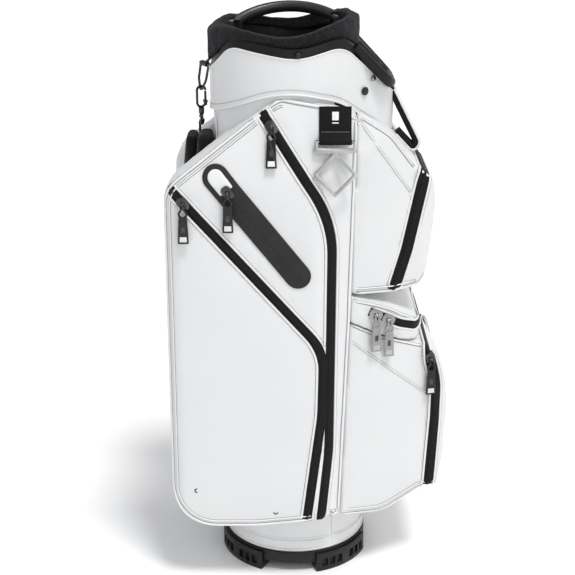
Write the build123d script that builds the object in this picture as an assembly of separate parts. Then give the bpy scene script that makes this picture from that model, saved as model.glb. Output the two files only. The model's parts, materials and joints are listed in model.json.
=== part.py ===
from build123d import *
import math
import os

# A golf cart bag standing on its base. Millimetres. +Z is up, +X points to the bag's front,
# where the ball pocket is, and -X to the shoulder strap. -Y and +Y are the clothing pockets.
# Everything is drawn close to the body tube's axis and moved by AXIS_X when it is written, so that
# the origin is under the middle of the whole bag.

# Driving dimensions
AXIS_X = -30.0            # moves the drawing onto the shared origin
FOOT_R = 121.0            # body tube at its foot
FOOT_X = 3.0              # centre of the tube's foot
FOOT_Z = 37.0
TOP_R = 124.0             # body tube at its top, under the cuff
TOP_X = -8.0              # centre of its top: the tube leans back on its way up
TOP_Z = 838.0
WALL = 2.0                # tube wall
GAP = 0.3                 # room between sewn pieces whose curved faces meet
TAPE = 1.4                # thickness of a zip tape
TAPE_W = 16.0             # visible width of a zip tape
PIN_H = 8.0               # height of a puller's pin above its tape

# Clothing pocket
SIDE_Y = 160.0            # its flat face
SIDE_BACK = -203.0        # its rear edge
SIDE_BOTTOM = 108.0
SIDE_BEND_Z = 700.0       # above this its face leans in towards the cuff
SIDE_TOP_Z = 832.0
SIDE_TOP_Y = 125.0
LEAN = (SIDE_Y - SIDE_TOP_Y) / (SIDE_TOP_Z - SIDE_BEND_Z)

# Collar and club opening
NOSE_X = 110.0            # centre of the collar's rounded nose
NOSE_R = 50.0
CUFF_R = 127.5
CUFF_WALL = 3.0
RING_X = -17.0            # centre of the round club opening
RING_R = 120.0
WELL_R = 101.0            # inside the padded ring
DIVIDER_Z = 845.0
DIVIDER_H = 23.0
FLOOR_Z = 770.0           # floor of the collar's scoop


# ---- shape helpers -------------------------------------------------------------------------

def outline(points, radii):
    return make_face(FilletPolyline(*points, radius=radii, close=True))


def side_prism(face, y_low, y_high):
    """A face drawn in X and Z, extruded along Y."""
    return extrude(Plane.XZ.offset(-y_high) * face, y_high - y_low)


def plan_prism(face, z_low, z_high):
    """A face drawn in X and Y, extruded along Z."""
    return extrude(Plane.XY.offset(z_low) * face, z_high - z_low)


def end_prism(face, x_low, x_high):
    """A face drawn in Y and Z, extruded along X."""
    return extrude(Plane.YZ.offset(x_low) * face, x_high - x_low)


def disc(radius, x, y, z_low, z_high):
    return plan_prism(Pos(x, y) * Circle(radius), z_low, z_high)


def rod(radius, start, end):
    """A round bar between two points."""
    a = Vector(*start)
    b = Vector(*end)
    return extrude(Plane(a, z_dir=b - a) * Circle(radius), (b - a).length)


def route(points, radii):
    if len(points) == 2:
        return Line(*points)
    return FilletPolyline(*points, radius=radii)


def ribbon(points, radii, width, y_low, y_high):
    """A band of even thickness along a route in X and Z, extruded along Y."""
    return side_prism(trace(route(points, radii), width), y_low, y_high)


def far(shape):
    return mirror(shape, about=Plane.XZ)


NODES = {}


def keep(name, *shapes):
    """Store one named piece as its separate solids."""
    solids = ShapeList()
    for shape in shapes:
        solids += shape.solids()
    NODES[name] = [Pos(AXIS_X, 0, 0) * s for s in solids if s.volume > 0.5]


# ---- base ----------------------------------------------------------------------------------

def tube_blank(grow):
    low = Plane.XY.offset(FOOT_Z) * Pos(FOOT_X, 0) * Circle(FOOT_R + grow)
    high = Plane.XY.offset(TOP_Z) * Pos(TOP_X, 0) * Circle(TOP_R + grow)
    return loft([low, high], ruled=True)


def make_base():
    ring = disc(FOOT_R + 2.5, FOOT_X, 0, 16, FOOT_Z) - disc(FOOT_R - 5, FOOT_X, 0, 20, FOOT_Z)
    feet = ShapeList()
    for centre in (47, 143, 217, 313):
        feet.append(Pos(FOOT_X, 0, 0) * make_foot(centre))
    keep("base_ring", ring)
    keep("base_feet", *feet)


def make_foot(centre):
    """A moulded foot: an arc block with two cells, each with three windows between ribs."""
    half = 26.5
    block = disc(129.5, 0, 0, 0, 15.7) - disc(94, 0, 0, 0, 15.7)
    skirt = disc(129.5, 0, 0, 15.7, 33) - disc(FOOT_R + 3, 0, 0, 15.7, 33)
    block += skirt
    reach = 170.0
    wedge = Polyline(
        (0, 0),
        (reach * math.cos(math.radians(centre - half)), reach * math.sin(math.radians(centre - half))),
        (reach * 1.2 * math.cos(math.radians(centre)), reach * 1.2 * math.sin(math.radians(centre))),
        (reach * math.cos(math.radians(centre + half)), reach * math.sin(math.radians(centre + half))),
        close=True,
    )
    block = block & plan_prism(make_face(wedge), 0, 40)
    for side in (-1, 1):
        for step in (-1, 0, 1):
            turn = centre + side * 13.0 + step * 6.6
            window = Pos(128, 0, 15.5) * Box(8, 10.5, 15)
            block -= Rot(0, 0, turn) * window
    return block


def make_tube():
    shell = tube_blank(0) - tube_blank(-WALL)
    # In front of the club opening the collar's nose takes the tube's place.
    shell -= Pos(150, 0, 850) * Box(176, 400, 170)
    keep("body_tube", shell)
    rods = [disc(4, FOOT_X + 109 * math.cos(a), 109 * math.sin(a), 20, FLOOR_Z - 0.3)
            for a in (math.radians(t) for t in (40, 140, 220, 320))]
    keep("stay_rods", *rods)


# ---- collar, padded ring, dividers ------------------------------------------------------------

def collar_plan(inset):
    """The collar seen from above: the round mouth and the rounded nose in front of it."""
    big = CUFF_R - inset
    small = NOSE_R - inset
    run = NOSE_X - TOP_X
    turn = math.acos((big - small) / run)
    a = (TOP_X + big * math.cos(turn), big * math.sin(turn))
    b = (NOSE_X + small * math.cos(turn), small * math.sin(turn))
    path = [
        ThreePointArc(a, (TOP_X - big, 0), (a[0], -a[1])),
        Line((a[0], -a[1]), (b[0], -b[1])),
        ThreePointArc((b[0], -b[1]), (NOSE_X + small, 0), b),
        Line(b, a),
    ]
    return make_face(path)


def wave(lift):
    """The saddle-shaped top edge of the cuff, raised by lift."""
    points = [(-150, 832), (-98, 896), (4, 879), (74, 897), (175, 797)]
    return [(x, z + lift) for x, z in points]


def below_wave(lift, bottom):
    top = wave(lift)
    points = top + [(175, bottom), (-150, bottom)]
    return side_prism(outline(points, [0, 25, 120, 35, 0, 0, 0]), -200, 200)


HEM = [(-150, 780), (-19, 834), (70, 812), (178, 727)]


def cuff_span():
    """Everything between the cuff's hem and its top edge."""
    points = HEM + [(178, 700), (-150, 700)]
    under_hem = side_prism(outline(points, [0, 150, 90, 0, 0, 0]), -200, 200)
    return below_wave(0, 690) - under_hem


def make_front_handle():
    """The moulded grip over the collar's nose: a flat U that slopes down to the front."""
    slope = math.atan2(66, 64)
    down = Vector(math.cos(slope), 0, -math.sin(slope))
    plane = Plane(Vector(94, 0, 891), x_dir=(0, 1, 0), z_dir=down.cross(Vector(0, 1, 0)))
    points = [(-72, -2), (-52, 84), (52, 84), (72, -2)]
    if (plane.from_local_coords(Vector(0, 1, 0)) - plane.origin).X < 0:
        points = [(x, -y) for x, y in points]
    path = plane * FilletPolyline(*points, radius=[30, 30])
    start = Plane(path @ 0, x_dir=plane.z_dir, z_dir=path % 0)
    return sweep(start * Ellipse(8.5, 7.5), path)


def make_top_handle():
    """The arched lifting grip across the far side of the mouth."""
    a = Vector(-98, 66, 909)
    b = Vector(72, 66, 917)
    crown = Vector(-12, 100, 933)
    path = ThreePointArc(a, crown, b)
    start = Plane(path @ 0, x_dir=(0, 0, 1), z_dir=path % 0)
    bar = sweep(start * Ellipse(9.5, 8), path)
    feet = [Pos(-98, 63, 905) * Box(26, 30, 26), Pos(74, 63, 912) * Box(26, 30, 28)]
    feet = [fillet(f.edges(), 5) for f in feet]
    return bar + feet[0] + feet[1]


def make_collar():
    floor_cut = disc(111, RING_X, 0, 700, 1000)
    outer = plan_prism(collar_plan(CUFF_WALL + GAP), 838.5, 960)
    outer += plan_prism(collar_plan(CUFF_WALL + WALL + 2), FLOOR_Z, 838.5)
    inner = plan_prism(collar_plan(CUFF_WALL + WALL + 6), FLOOR_Z + 5, 960)
    mouth = disc(RING_R - 1, RING_X, 0, FLOOR_Z, 960) - disc(RING_R + 9, -300, 0, 700, 1000)
    ring = (outer - inner + (mouth & outer)) - floor_cut
    ring = ring & below_wave(14, 700)
    front = make_front_handle()
    top = make_top_handle() - disc(RING_R - 25, RING_X, 0, 880, 917)

    rim = [(-160, 898), (-112, 926), (-8, 908), (82, 935), (120, 931), (120, 700), (-160, 700)]
    under_rim = side_prism(outline(rim, [0, 30, 140, 25, 0, 0, 0]), -200, 200)
    padding = disc(RING_R, RING_X, 0, 700, 960) - disc(WELL_R, RING_X, 0, 700, 960)
    padding = (padding & under_rim) - below_wave(14.2, 600) - top - front
    ring = ring - front - top

    studs, cutters = make_studs()
    cuff = (plan_prism(collar_plan(0), 700, 960) - plan_prism(collar_plan(CUFF_WALL), 700, 960))
    cuff = (cuff & cuff_span()) - front
    for cutter in cutters:
        cuff -= cutter
        ring -= cutter

    keep("top_ring", ring)
    keep("ring_padding", padding)
    keep("front_handle", front)
    keep("top_handle", top)
    keep("cuff", cuff)
    keep("cuff_studs", *studs)
    return cuff


def make_studs():
    """Round studs on the cuff and the band: on each side one on the band's dip, one rivet, one snap."""
    studs = ShapeList()
    cutters = ShapeList()
    spots = [(5, 888, 3.3, 4.5), (123, 841, 0, 4.5), (109.5, 823, 0, 6.5)]
    turn = math.acos((CUFF_R - NOSE_R) / (NOSE_X - TOP_X))
    for x, z, inset, radius in spots:
        if x > 90:
            # The straight wall between the round mouth and the nose.
            y = -(CUFF_R - inset - math.cos(turn) * (x - TOP_X)) / math.sin(turn)
            normal = Vector(math.cos(turn), -math.sin(turn), 0)
        else:
            y = -math.sqrt((CUFF_R - inset)**2 - (x - TOP_X)**2)
            normal = Vector(x - TOP_X, y, 0).normalized()
        face = Plane(Vector(x, y, z) - normal * 1.0, x_dir=(0, 0, 1), z_dir=normal)
        head = extrude(face * Circle(radius), inset + 2.8)
        cutter = extrude(face * Circle(radius + 0.02), inset + 6)
        for shape, store in ((head, studs), (cutter, cutters)):
            store.append(shape)
            store.append(far(shape))
    return studs, cutters


def well_walls(thick, z_low, z_high, limit):
    """Walls of a fourteen-way top, three, four, four and three wells, each wall its own solid."""
    height = z_high - z_low
    middle = (z_low + z_high) / 2
    walls = ShapeList()
    for y in (-52, 0, 52):
        walls.append(Pos(RING_X, y, middle) * Box(260, thick, height))
    for row, cuts in ((-1, (-28, 28)), (0, (-50, 0, 50))):
        low, high = (52, 130) if row else (0, 52)
        for x in cuts:
            for side in (-1, 1):
                y = side * (low + high) / 2
                walls.append(Pos(RING_X + x, y, middle) * Box(thick, high - low - thick, height))
    return ShapeList([w & limit for w in walls])


def make_dividers():
    top = DIVIDER_Z + DIVIDER_H
    limit = disc(104, RING_X, 0, DIVIDER_Z, top)
    rim = disc(110.6, RING_X, 0, DIVIDER_Z, top) - disc(104, RING_X, 0, DIVIDER_Z, top)
    keep("divider_rim", rim)
    keep("divider_bars", *well_walls(5, DIVIDER_Z, top, limit))
    tube_inside = disc(101, RING_X + 9, 0, 60, DIVIDER_Z)
    keep("divider_sleeves", *well_walls(1.6, 60, DIVIDER_Z - 0.2, tube_inside))


# ---- pockets -------------------------------------------------------------------------------

SEAM = [(98, 840), (90, 480), (76, 90)]    # the long seam between the clothing and front pockets


def side_pocket(grow):
    """The clothing pocket on the -Y side; grow lifts its outer faces for what is sewn on them."""
    shift = -0.3
    face = outline(
        [(SIDE_BACK - grow, SIDE_BOTTOM), (SIDE_BACK - grow, 690), (-25, 825), (62, 811), (97 + shift, 794),
         (90 + shift, 480), (76 + shift, SIDE_BOTTOM + 14), (-60, SIDE_BOTTOM)],
        [75, 60, 30, 90, 0, 0, 0, 200],
    )
    block = side_prism(face, -200, 0)
    y = -SIDE_Y - grow
    plan = outline(
        [(SIDE_BACK - grow, -96), (SIDE_BACK - grow, y), (40, y), (110, -124 - grow), (110, -20), (-95, -72)],
        [12, 30, 60, 0, 0, 0],
    )
    block = block & plan_prism(plan, 0, 900)
    lean_grow = grow * math.hypot(1, LEAN)
    ridge = SIDE_TOP_Z + 5 / LEAN
    ends = outline(
        [(y, 50), (y, SIDE_BEND_Z + (lean_grow - grow) / LEAN), (-SIDE_TOP_Y - lean_grow + 5, ridge),
         (0, ridge), (0, 50)],
        [0, 0, 0, 0, 0],
    )
    block = block & end_prism(ends, -300, 200)
    return block


MAIN_LINE = [(-50, 803), (59, 638), (57, 245), (43, 100)]
DIAGONAL_LINE = [(-196, 696), (47, 424), (45, 310), (19, 100)]
PATCH_ENDS = [(-120, 708), (6, 550)]
PATCH_W = 41.0


def route_strip(points, radii, width):
    return side_prism(trace(route(points, radii), width), -200, 0)


def make_side_pockets(cuff):
    tube = tube_blank(GAP)
    hem_zone = plan_prism(collar_plan(-GAP), 700, 960) & cuff_span()
    nose_zone = plan_prism(collar_plan(CUFF_WALL + 1), FLOOR_Z - 1, 960)
    solid = side_pocket(0)
    layer = side_pocket(TAPE) - solid - tube
    pocket = solid - tube - hem_zone - nose_zone
    main = (layer & route_strip(MAIN_LINE, [190, 250], TAPE_W)) - hem_zone
    diagonal = layer & route_strip(DIAGONAL_LINE, [90, 250], TAPE_W)
    diagonal = diagonal - route_strip(MAIN_LINE, [190, 250], TAPE_W + 0.6)
    (x0, z0), (x1, z1) = PATCH_ENDS
    stadium = SlotCenterToCenter(math.hypot(x1 - x0, z1 - z0), PATCH_W)
    slant = math.degrees(math.atan2(z1 - z0, x1 - x0))
    stadium = Pos((x0 + x1) / 2, (z0 + z1) / 2) * Rot(0, 0, slant) * stadium
    patch = (side_pocket(2.0) - solid) & side_prism(stadium, -200, -130)
    tab = (side_pocket(2.5) - solid) & side_prism(Pos(62, 790) * Rectangle(50, 66), -200, -100)
    tab = tab - hem_zone
    keep("near_clothing_pocket", pocket)
    keep("near_main_tape", main)
    keep("near_diagonal_tape", diagonal)
    keep("welded_zip_patch", patch)
    keep("far_clothing_pocket", far(pocket))
    keep("far_main_tape", far(main))
    keep("far_diagonal_tape", far(diagonal))
    eyelets = ShapeList()
    for x, z in ((-160, 176), (-30, 136)):
        face = Plane(Vector(x, -SIDE_Y, z), x_dir=(1, 0, 0), z_dir=(0, -1, 0))
        eyelet = extrude(face * (Circle(4.5) - Circle(2)), 1.2)
        eyelets.append(eyelet)
        eyelets.append(far(eyelet))
    keep("drain_eyelets", *eyelets)
    make_towel_ring(tab)


def front_pocket(face, side, corner, grow):
    """A pocket on the bag's front: side lists its plan from the seam to the middle, on the -Y side."""
    block = side_prism(offset(face, grow) if grow else face, -200, 200)
    half = [(x + grow * 0.25, y - grow) for x, y in side[:-1]]
    half.append((side[-1][0] + grow, -30))
    points = half + [(x, -y) for x, y in reversed(half)]
    radii = [0, corner, 40, 40, corner, 0]
    return block & plan_prism(outline(points, radii), 0, 900)


UPPER_FACE = [(97, 796), (150, 763), (190, 713), (222, 684), (230, 640), (213, 532), (203, 512), (160, 503),
              (90, 503)]
UPPER_RADII = [0, 40, 30, 14, 60, 15, 10, 20, 0]
UPPER_PLAN = [(40, -130), (216, -85), (234, 0)]
UPPER_LINE = [(213, 724), (204, 688), (180, 572), (157, 495)]

SMALL_FACE = [(89.9, 501), (152, 482), (200, 456), (210, 438), (210, 412.5), (196, 416.5), (140, 434.5),
              (88, 461)]
SMALL_RADII = [0, 60, 12, 12, 4, 0, 60, 0]
SMALL_PLAN = [(40, -142), (201, -101), (212, 0)]
SMALL_LINE = [(120, 478), (172, 452.5), (228, 437)]

BALL_FACE = [(88, 459), (140, 432), (196, 414), (216, 408), (251, 350), (261, 300), (261, 240), (248, 152),
             (214, 146), (150, 110), (77, 112)]
BALL_RADII = [0, 60, 40, 22, 70, 80, 80, 14, 20, 60, 0]
BALL_PLAN = [(40, -139), (246, -86), (262, 0)]
BALL_LINE = [(211, 428), (223, 391), (237, 335), (236, 270), (229, 130)]


def make_front_pockets(loop_zone):
    tube = tube_blank(GAP)
    cuff_zone = plan_prism(collar_plan(-GAP), 700, 960) & cuff_span()
    nose_zone = plan_prism(collar_plan(CUFF_WALL + 1), FLOOR_Z - 1, 960)
    seam_side = side_prism(outline(SEAM + [(0, 90), (0, 840)], [0, 0, 0, 0, 0]), -200, 200)
    lean = end_prism(outline(
        [(-150, 50), (-150, 640), (-88, 800), (-88, 900), (88, 900), (88, 800), (150, 640), (150, 50)],
        [0, 0, 0, 0, 0, 0, 0, 0]), -300, 300)
    table = (
        ("upper_pocket", UPPER_FACE, UPPER_RADII, UPPER_PLAN, 14, "upper_tape", UPPER_LINE, [0, 100], 21),
        ("valuables_pocket", SMALL_FACE, SMALL_RADII, SMALL_PLAN, 45, "valuables_tape", SMALL_LINE, [60], 14),
        ("ball_pocket", BALL_FACE, BALL_RADII, BALL_PLAN, 26, "ball_tape", BALL_LINE, [0, 150, 250], 19),
    )
    for name, points, radii, plan, corner, tape_name, line, line_radii, width in table:
        face = outline(points, radii)
        solid = front_pocket(face, plan, corner, 0) & lean
        layer = (front_pocket(face, plan, corner, TAPE) & lean) - solid
        strip = side_prism(trace(route(line, line_radii), width), -200, 200)
        pocket = solid - tube - cuff_zone - nose_zone - seam_side - loop_zone
        keep(name, pocket)
        keep(tape_name, (layer & strip) - loop_zone)


# ---- zip sliders and pullers ---------------------------------------------------------------

def slider_and_puller(spot, normal, slant):
    """A slider on a tape and the puller that hangs from it.
    spot is on the tape's outer face, normal points away from the bag, and slant is the tape's
    direction in degrees from straight down."""
    across = Vector(0, 0, 1).cross(normal).normalized()
    frame = Plane(spot, x_dir=across, z_dir=normal)
    plate = Plane.XY.offset(0.4) * Rot(0, 0, slant) * RectangleRounded(15, 22, 6)
    body = extrude(plate, 4)
    lug = Pos(0, 0, 5.6) * Box(3, 6, 3.6) + Pos(0, 0, PIN_H) * Rot(0, 90, 0) * Cylinder(3, 3)
    body = body + lug - Pos(0, 0, PIN_H) * Rot(0, 90, 0) * Cylinder(1.55, 6)

    pin = Pos(0, 0, PIN_H) * Rot(0, 90, 0) * Cylinder(1.5, 8)
    arms = Pos(3, -5, PIN_H) * Box(2, 10, 2.6) + Pos(-3, -5, PIN_H) * Box(2, 10, 2.6)
    eye = Rot(0, 90, 0) * Cylinder(2.8, 2)
    eyes = Pos(3, 0, PIN_H) * eye + Pos(-3, 0, PIN_H) * eye
    hoop = Circle(7.5) - Circle(4.2) - Pos(0, 7) * Rectangle(4, 8)
    link = Plane.XY.offset(PIN_H - 1.3) * Pos(0, -15) * hoop
    tab = outline([(-6.6, -19.5), (6.6, -19.5), (8.6, -62), (-8.6, -62)], [2, 2, 1.5, 1.5])
    flat = Plane.XY.offset(PIN_H - 1.3) * (tab - Pos(0, -15) * Circle(4.2))
    puller = pin + arms + eyes + extrude(link, 2.6) + extrude(flat, 2.6)
    return frame * body, frame * puller


def on_line(line, run):
    """The point that lies run past the start of a straight stretch, and its slant from straight down."""
    (x0, z0), (x1, z1) = line[0], line[1]
    length = math.hypot(x1 - x0, z1 - z0)
    x = x0 + (x1 - x0) * run / length
    z = z0 + (z1 - z0) * run / length
    return x, z, math.degrees(math.atan2(x1 - x0, z0 - z1))


def front_spot(plan, x, z, lift, side):
    """A place on a front pocket's side face, side -1 or +1 in Y, and the face's normal."""
    (x0, y0), (x1, y1) = plan[0], plan[1]
    slope = (y1 - y0) / (x1 - x0)
    normal = Vector(slope, -1, 0).normalized()
    y = y0 + (x - x0) * slope
    spot = Vector(x, y, z) + normal * lift
    if side > 0:
        spot = Vector(spot.X, -spot.Y, spot.Z)
        normal = Vector(normal.X, -normal.Y, normal.Z)
    return spot, normal


def make_pullers():
    leaning = Vector(0, -1, LEAN).normalized()
    flat = Vector(0, -1, 0)
    x, z, slant = on_line(MAIN_LINE, 27)
    slant = math.degrees(math.atan(math.tan(math.radians(slant)) / math.hypot(1, LEAN)))
    y = -SIDE_Y + (z - SIDE_BEND_Z) * LEAN
    spots = [("near_main", Vector(x, y, z) + leaning * TAPE, leaning, slant)]
    x, z, slant = on_line(DIAGONAL_LINE, 38)
    spots.append(("near_diagonal", Vector(x, -SIDE_Y - TAPE, z), flat, slant))
    x, z, slant = on_line(PATCH_ENDS, 29)
    spots.append(("patch", Vector(x, -SIDE_Y - 2.0, z), flat, slant))
    for name, spot, normal, slant in spots:
        slider, puller = slider_and_puller(spot, normal, slant)
        keep(name + "_slider", slider)
        keep(name + "_puller", puller)
        if name != "patch":
            keep(name.replace("near", "far") + "_slider", far(slider))
            keep(name.replace("near", "far") + "_puller", far(puller))
        place = [round(v, 2) for v in (spot.X + AXIS_X, spot.Y, spot.Z)]
        print(name, "spot", place, "slant", round(slant, 2))

    rows = (
        ("upper", UPPER_PLAN, UPPER_LINE[1:], 18, 1),
        ("valuables_rear", SMALL_PLAN, SMALL_LINE, 12, -1),
        ("valuables_front", SMALL_PLAN, SMALL_LINE, 35, -1),
        ("ball", BALL_PLAN, BALL_LINE[1:], 6, -1),
    )
    for name, plan, line, run, side in rows:
        x, z, slant = on_line(line, run)
        spot, normal = front_spot(plan, x, z, TAPE, side)
        slider, puller = slider_and_puller(spot, normal, slant * -side)
        keep(name + "_slider", slider)
        keep(name + "_puller", puller)
        place = [round(v, 2) for v in (spot.X + AXIS_X, spot.Y, spot.Z)]
        facing = [round(v, 4) for v in (normal.X, normal.Y, normal.Z)]
        print(name, "spot", place, "slant", round(slant, 2), "normal", facing)


# ---- towel ring ------------------------------------------------------------------------------

HINGE = Vector(62, -153.5, 762)      # the bar in the webbing's fold


def make_towel_ring(tab):
    """The webbing tab on the near pocket, and the metal frame with its square ring."""
    fold = rod(5.0, (38, HINGE.Y, HINGE.Z), (86, HINGE.Y, HINGE.Z))
    strip = Pos(62, HINGE.Y + 6, HINGE.Z + 2) * Box(48, 7, 7)
    bore = rod(2.6, (30, HINGE.Y, HINGE.Z), (94, HINGE.Y, HINGE.Z))
    solid = side_pocket(0)
    tab = (tab + fold + strip - bore) - solid
    keep("towel_tab", tab)

    tilt = math.radians(10)
    normal = Vector(0, -math.cos(tilt), math.sin(tilt))
    frame = Plane(HINGE, x_dir=(1, 0, 0), z_dir=normal)
    bar = rod(2.5, (-30, 0, 0), (30, 0, 0))
    sides = [Pos(s * 29.5, -7, 0) * Box(5, 16, 5) for s in (-1, 1)]
    lower = extrude(Plane.XY.offset(-2.5) * Pos(0, -13.5) * RectangleRounded(64, 8, 3.5), 5)
    square = Rectangle(49, 49) - Rectangle(38, 38)
    square = fillet(square.vertices(), 3)
    diamond = extrude(Plane.XY.offset(-2.0) * Pos(0, -50) * Rot(0, 0, 45) * square, 4)
    ring = bar + sides[0] + sides[1] + lower + diamond
    keep("towel_ring", frame * ring)


# ---- carrying: lift strap and shoulder strap ---------------------------------------------------

def lift_loop(grow):
    """The soft lifting loop at the front of the cuff."""
    points = [(161, 812), (203, 730), (194, 714), (166, 744)]
    return ribbon(points, [10, 7], 8 + 2 * grow, -16 - grow, 16 + grow)


def make_shoulder_strap(cuff):
    y = 36.0
    turn = math.radians(60)
    along = Vector(math.cos(turn), -math.sin(turn), 0)
    other = Vector(math.sin(turn), math.cos(turn), 0)
    anchor = Vector(-145, y, 849)

    fold = extrude(Plane(anchor - along * 11, z_dir=along) * (Circle(4.6) - Circle(2.45)), 22)
    tail = Pos(-134, y, 860) * Rot(0, -45, 0) * Box(28, 20, 3)
    tail = tail - extrude(Plane(anchor - along * 30, z_dir=along) * Circle(2.45), 60)
    shell = plan_prism(collar_plan(-GAP), 700, 960) + disc(RING_R + GAP, RING_X, 0, 700, 960)
    keep("strap_anchor", (fold + tail) - shell)

    # The D ring hangs from the anchor and leans back; its lower end carries the snap hook.
    lean = Vector(-9, 0, -41).normalized()
    face = Plane(anchor, x_dir=along, z_dir=along.cross(lean * -1))
    ring_path = face * FilletPolyline((-14, 0), (-13, -26), (0, -46), (13, -26), (14, 0), radius=[12, 5, 12])
    start = Plane(ring_path @ 0, z_dir=ring_path % 0)
    bow = sweep(start * Circle(2.1), ring_path)
    bar = extrude(Plane(anchor - along * 16, z_dir=along) * Circle(2.3), 32)
    keep("strap_d_ring", bow + bar)
    foot = face.from_local_coords(Vector(0, -41.8, 0))
    print("d ring foot", [round(v, 2) for v in (foot.X, foot.Y, foot.Z)])

    # Snap hook: an oval of round bar with a hinged gate on one side.
    hook_top = foot + Vector(0, 0, 5.0)
    centre = hook_top - Vector(0, 0, 17)
    hook = Plane(centre, x_dir=other, z_dir=other.cross(Vector(0, 0, 1)))
    oval = hook * FilletPolyline((-7.5, 17), (7.5, 17), (7.5, -17), (-7.5, -17), radius=7.2, close=True)
    start = Plane(oval @ 0, z_dir=oval % 0)
    frame = sweep(start * Circle(2.1), oval)
    gate_zone = hook * Pos(7.5, 1, 0) * Box(9, 17, 9)
    hinge_at = hook.from_local_coords(Vector(7.5, -8.5, 0))
    axis = hook.z_dir
    hinge_zone = extrude(Plane(hinge_at - axis * 5, z_dir=axis) * Circle(3.1), 10)
    frame = frame - gate_zone - hinge_zone
    pivot = extrude(Plane(hinge_at - axis * 3.2, z_dir=axis) * Circle(1.0), 6.4)
    cheeks = [extrude(Plane(hinge_at + axis * s, z_dir=axis) * Circle(3.0), 1.1) for s in (2.2, -3.3)]
    neck = hook * Pos(7.5, -12.5, 0) * Box(3.6, 4.5, 6.6)
    slot_cut = hook * Pos(7.5, -9, 0) * Box(8, 6.6, 4.2)
    frame = frame + ((neck + cheeks[0] + cheeks[1]) - slot_cut) + pivot
    barrel = extrude(Plane(centre - Vector(0, 0, 18.6)) * Circle(4.6), -9)
    frame = frame + barrel
    keep("snap_hook", frame)
    knuckle = extrude(Plane(hinge_at - axis * 1.9, z_dir=axis) * (Circle(2.7) - Circle(1.06)), 3.8)
    arm = hook * Pos(7.5, 0.9, 0) * Box(3.0, 14.6, 3.0)
    arm = arm - extrude(Plane(hinge_at - axis * 6, z_dir=axis) * Circle(2.6), 12)
    keep("snap_gate", knuckle + arm)
    print("gate hinge", [round(v, 3) for v in (hinge_at.X + AXIS_X, hinge_at.Y, hinge_at.Z)],
          "axis", [round(v, 4) for v in (axis.X, axis.Y, axis.Z)])

    eye_z = centre.Z - 30
    eye = rod(2.0, (centre.X, y - 12, eye_z - 12), (centre.X, y + 12, eye_z - 12))
    eye += rod(2.0, (centre.X, y - 12, eye_z - 14), (centre.X, y - 12, eye_z))
    eye += rod(2.0, (centre.X, y + 12, eye_z - 14), (centre.X, y + 12, eye_z))
    eye += Pos(centre.X, centre.Y, eye_z + 0.1) * Box(6, 28, 3.8)
    keep("swivel_eye", eye)

    top_web = rod(4.6, (centre.X, y - 9, eye_z - 12), (centre.X, y + 9, eye_z - 12))
    top_web += Pos(centre.X - 3.2, y, eye_z - 24) * Box(3, 18, 24)
    top_web -= rod(2.1, (centre.X, y - 14, eye_z - 12), (centre.X, y + 14, eye_z - 12))
    pad_top = eye_z - 30
    pad_x = -168.0
    pad = Pos(pad_x, y + 3, (pad_top + 420) / 2) * Box(20, 62, pad_top - 420)
    pad = fillet(pad.edges(), 8)
    keep("strap_pad", pad - top_web)
    keep("strap_top_webbing", top_web)
    web = ribbon([(pad_x, 420), (pad_x, 380), (-130, 300), (-126, 250)], [30, 30], 2.6, y - 16, y + 22)
    keep("strap_webbing", web)
    buckle = Pos(pad_x, y + 3, 402) * (Box(8, 48, 24) - Box(3.4, 39, 40))
    keep("strap_buckle", fillet(buckle.edges().filter_by(Axis.X), 2))
    web = web - tube_blank(GAP)
    patch = Pos(-120, y + 3, 264) * Box(18, 46, 50)
    keep("strap_foot_patch", patch - tube_blank(GAP) - web)

    cushion = Pos(-141.5, -17, 585) * Box(27, 64, 330)
    cushion = fillet(cushion.edges(), 9) - tube_blank(0.5)
    keep("back_pad", cushion)


# ---- build and write ---------------------------------------------------------------------------

def main():
    make_base()
    make_tube()
    cuff = make_collar()
    make_dividers()
    make_side_pockets(cuff)
    loop = lift_loop(0) - plan_prism(collar_plan(-GAP), 700, 960)
    keep("lift_loop", loop)
    make_front_pockets(lift_loop(0.5))
    make_pullers()
    make_shoulder_strap(cuff)
    os.makedirs("parts", exist_ok=True)
    for name, solids in NODES.items():
        shape = solids[0] if len(solids) == 1 else Compound(children=solids)
        export_step(shape, f"parts/{name}.step")
    print(len(NODES), "nodes")


main()
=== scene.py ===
import json
import math

import bmesh
import bpy
import numpy as np
from mathutils import Matrix, Vector, noise
from mathutils.bvhtree import BVHTree
from mathutils.kdtree import KDTree

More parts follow.
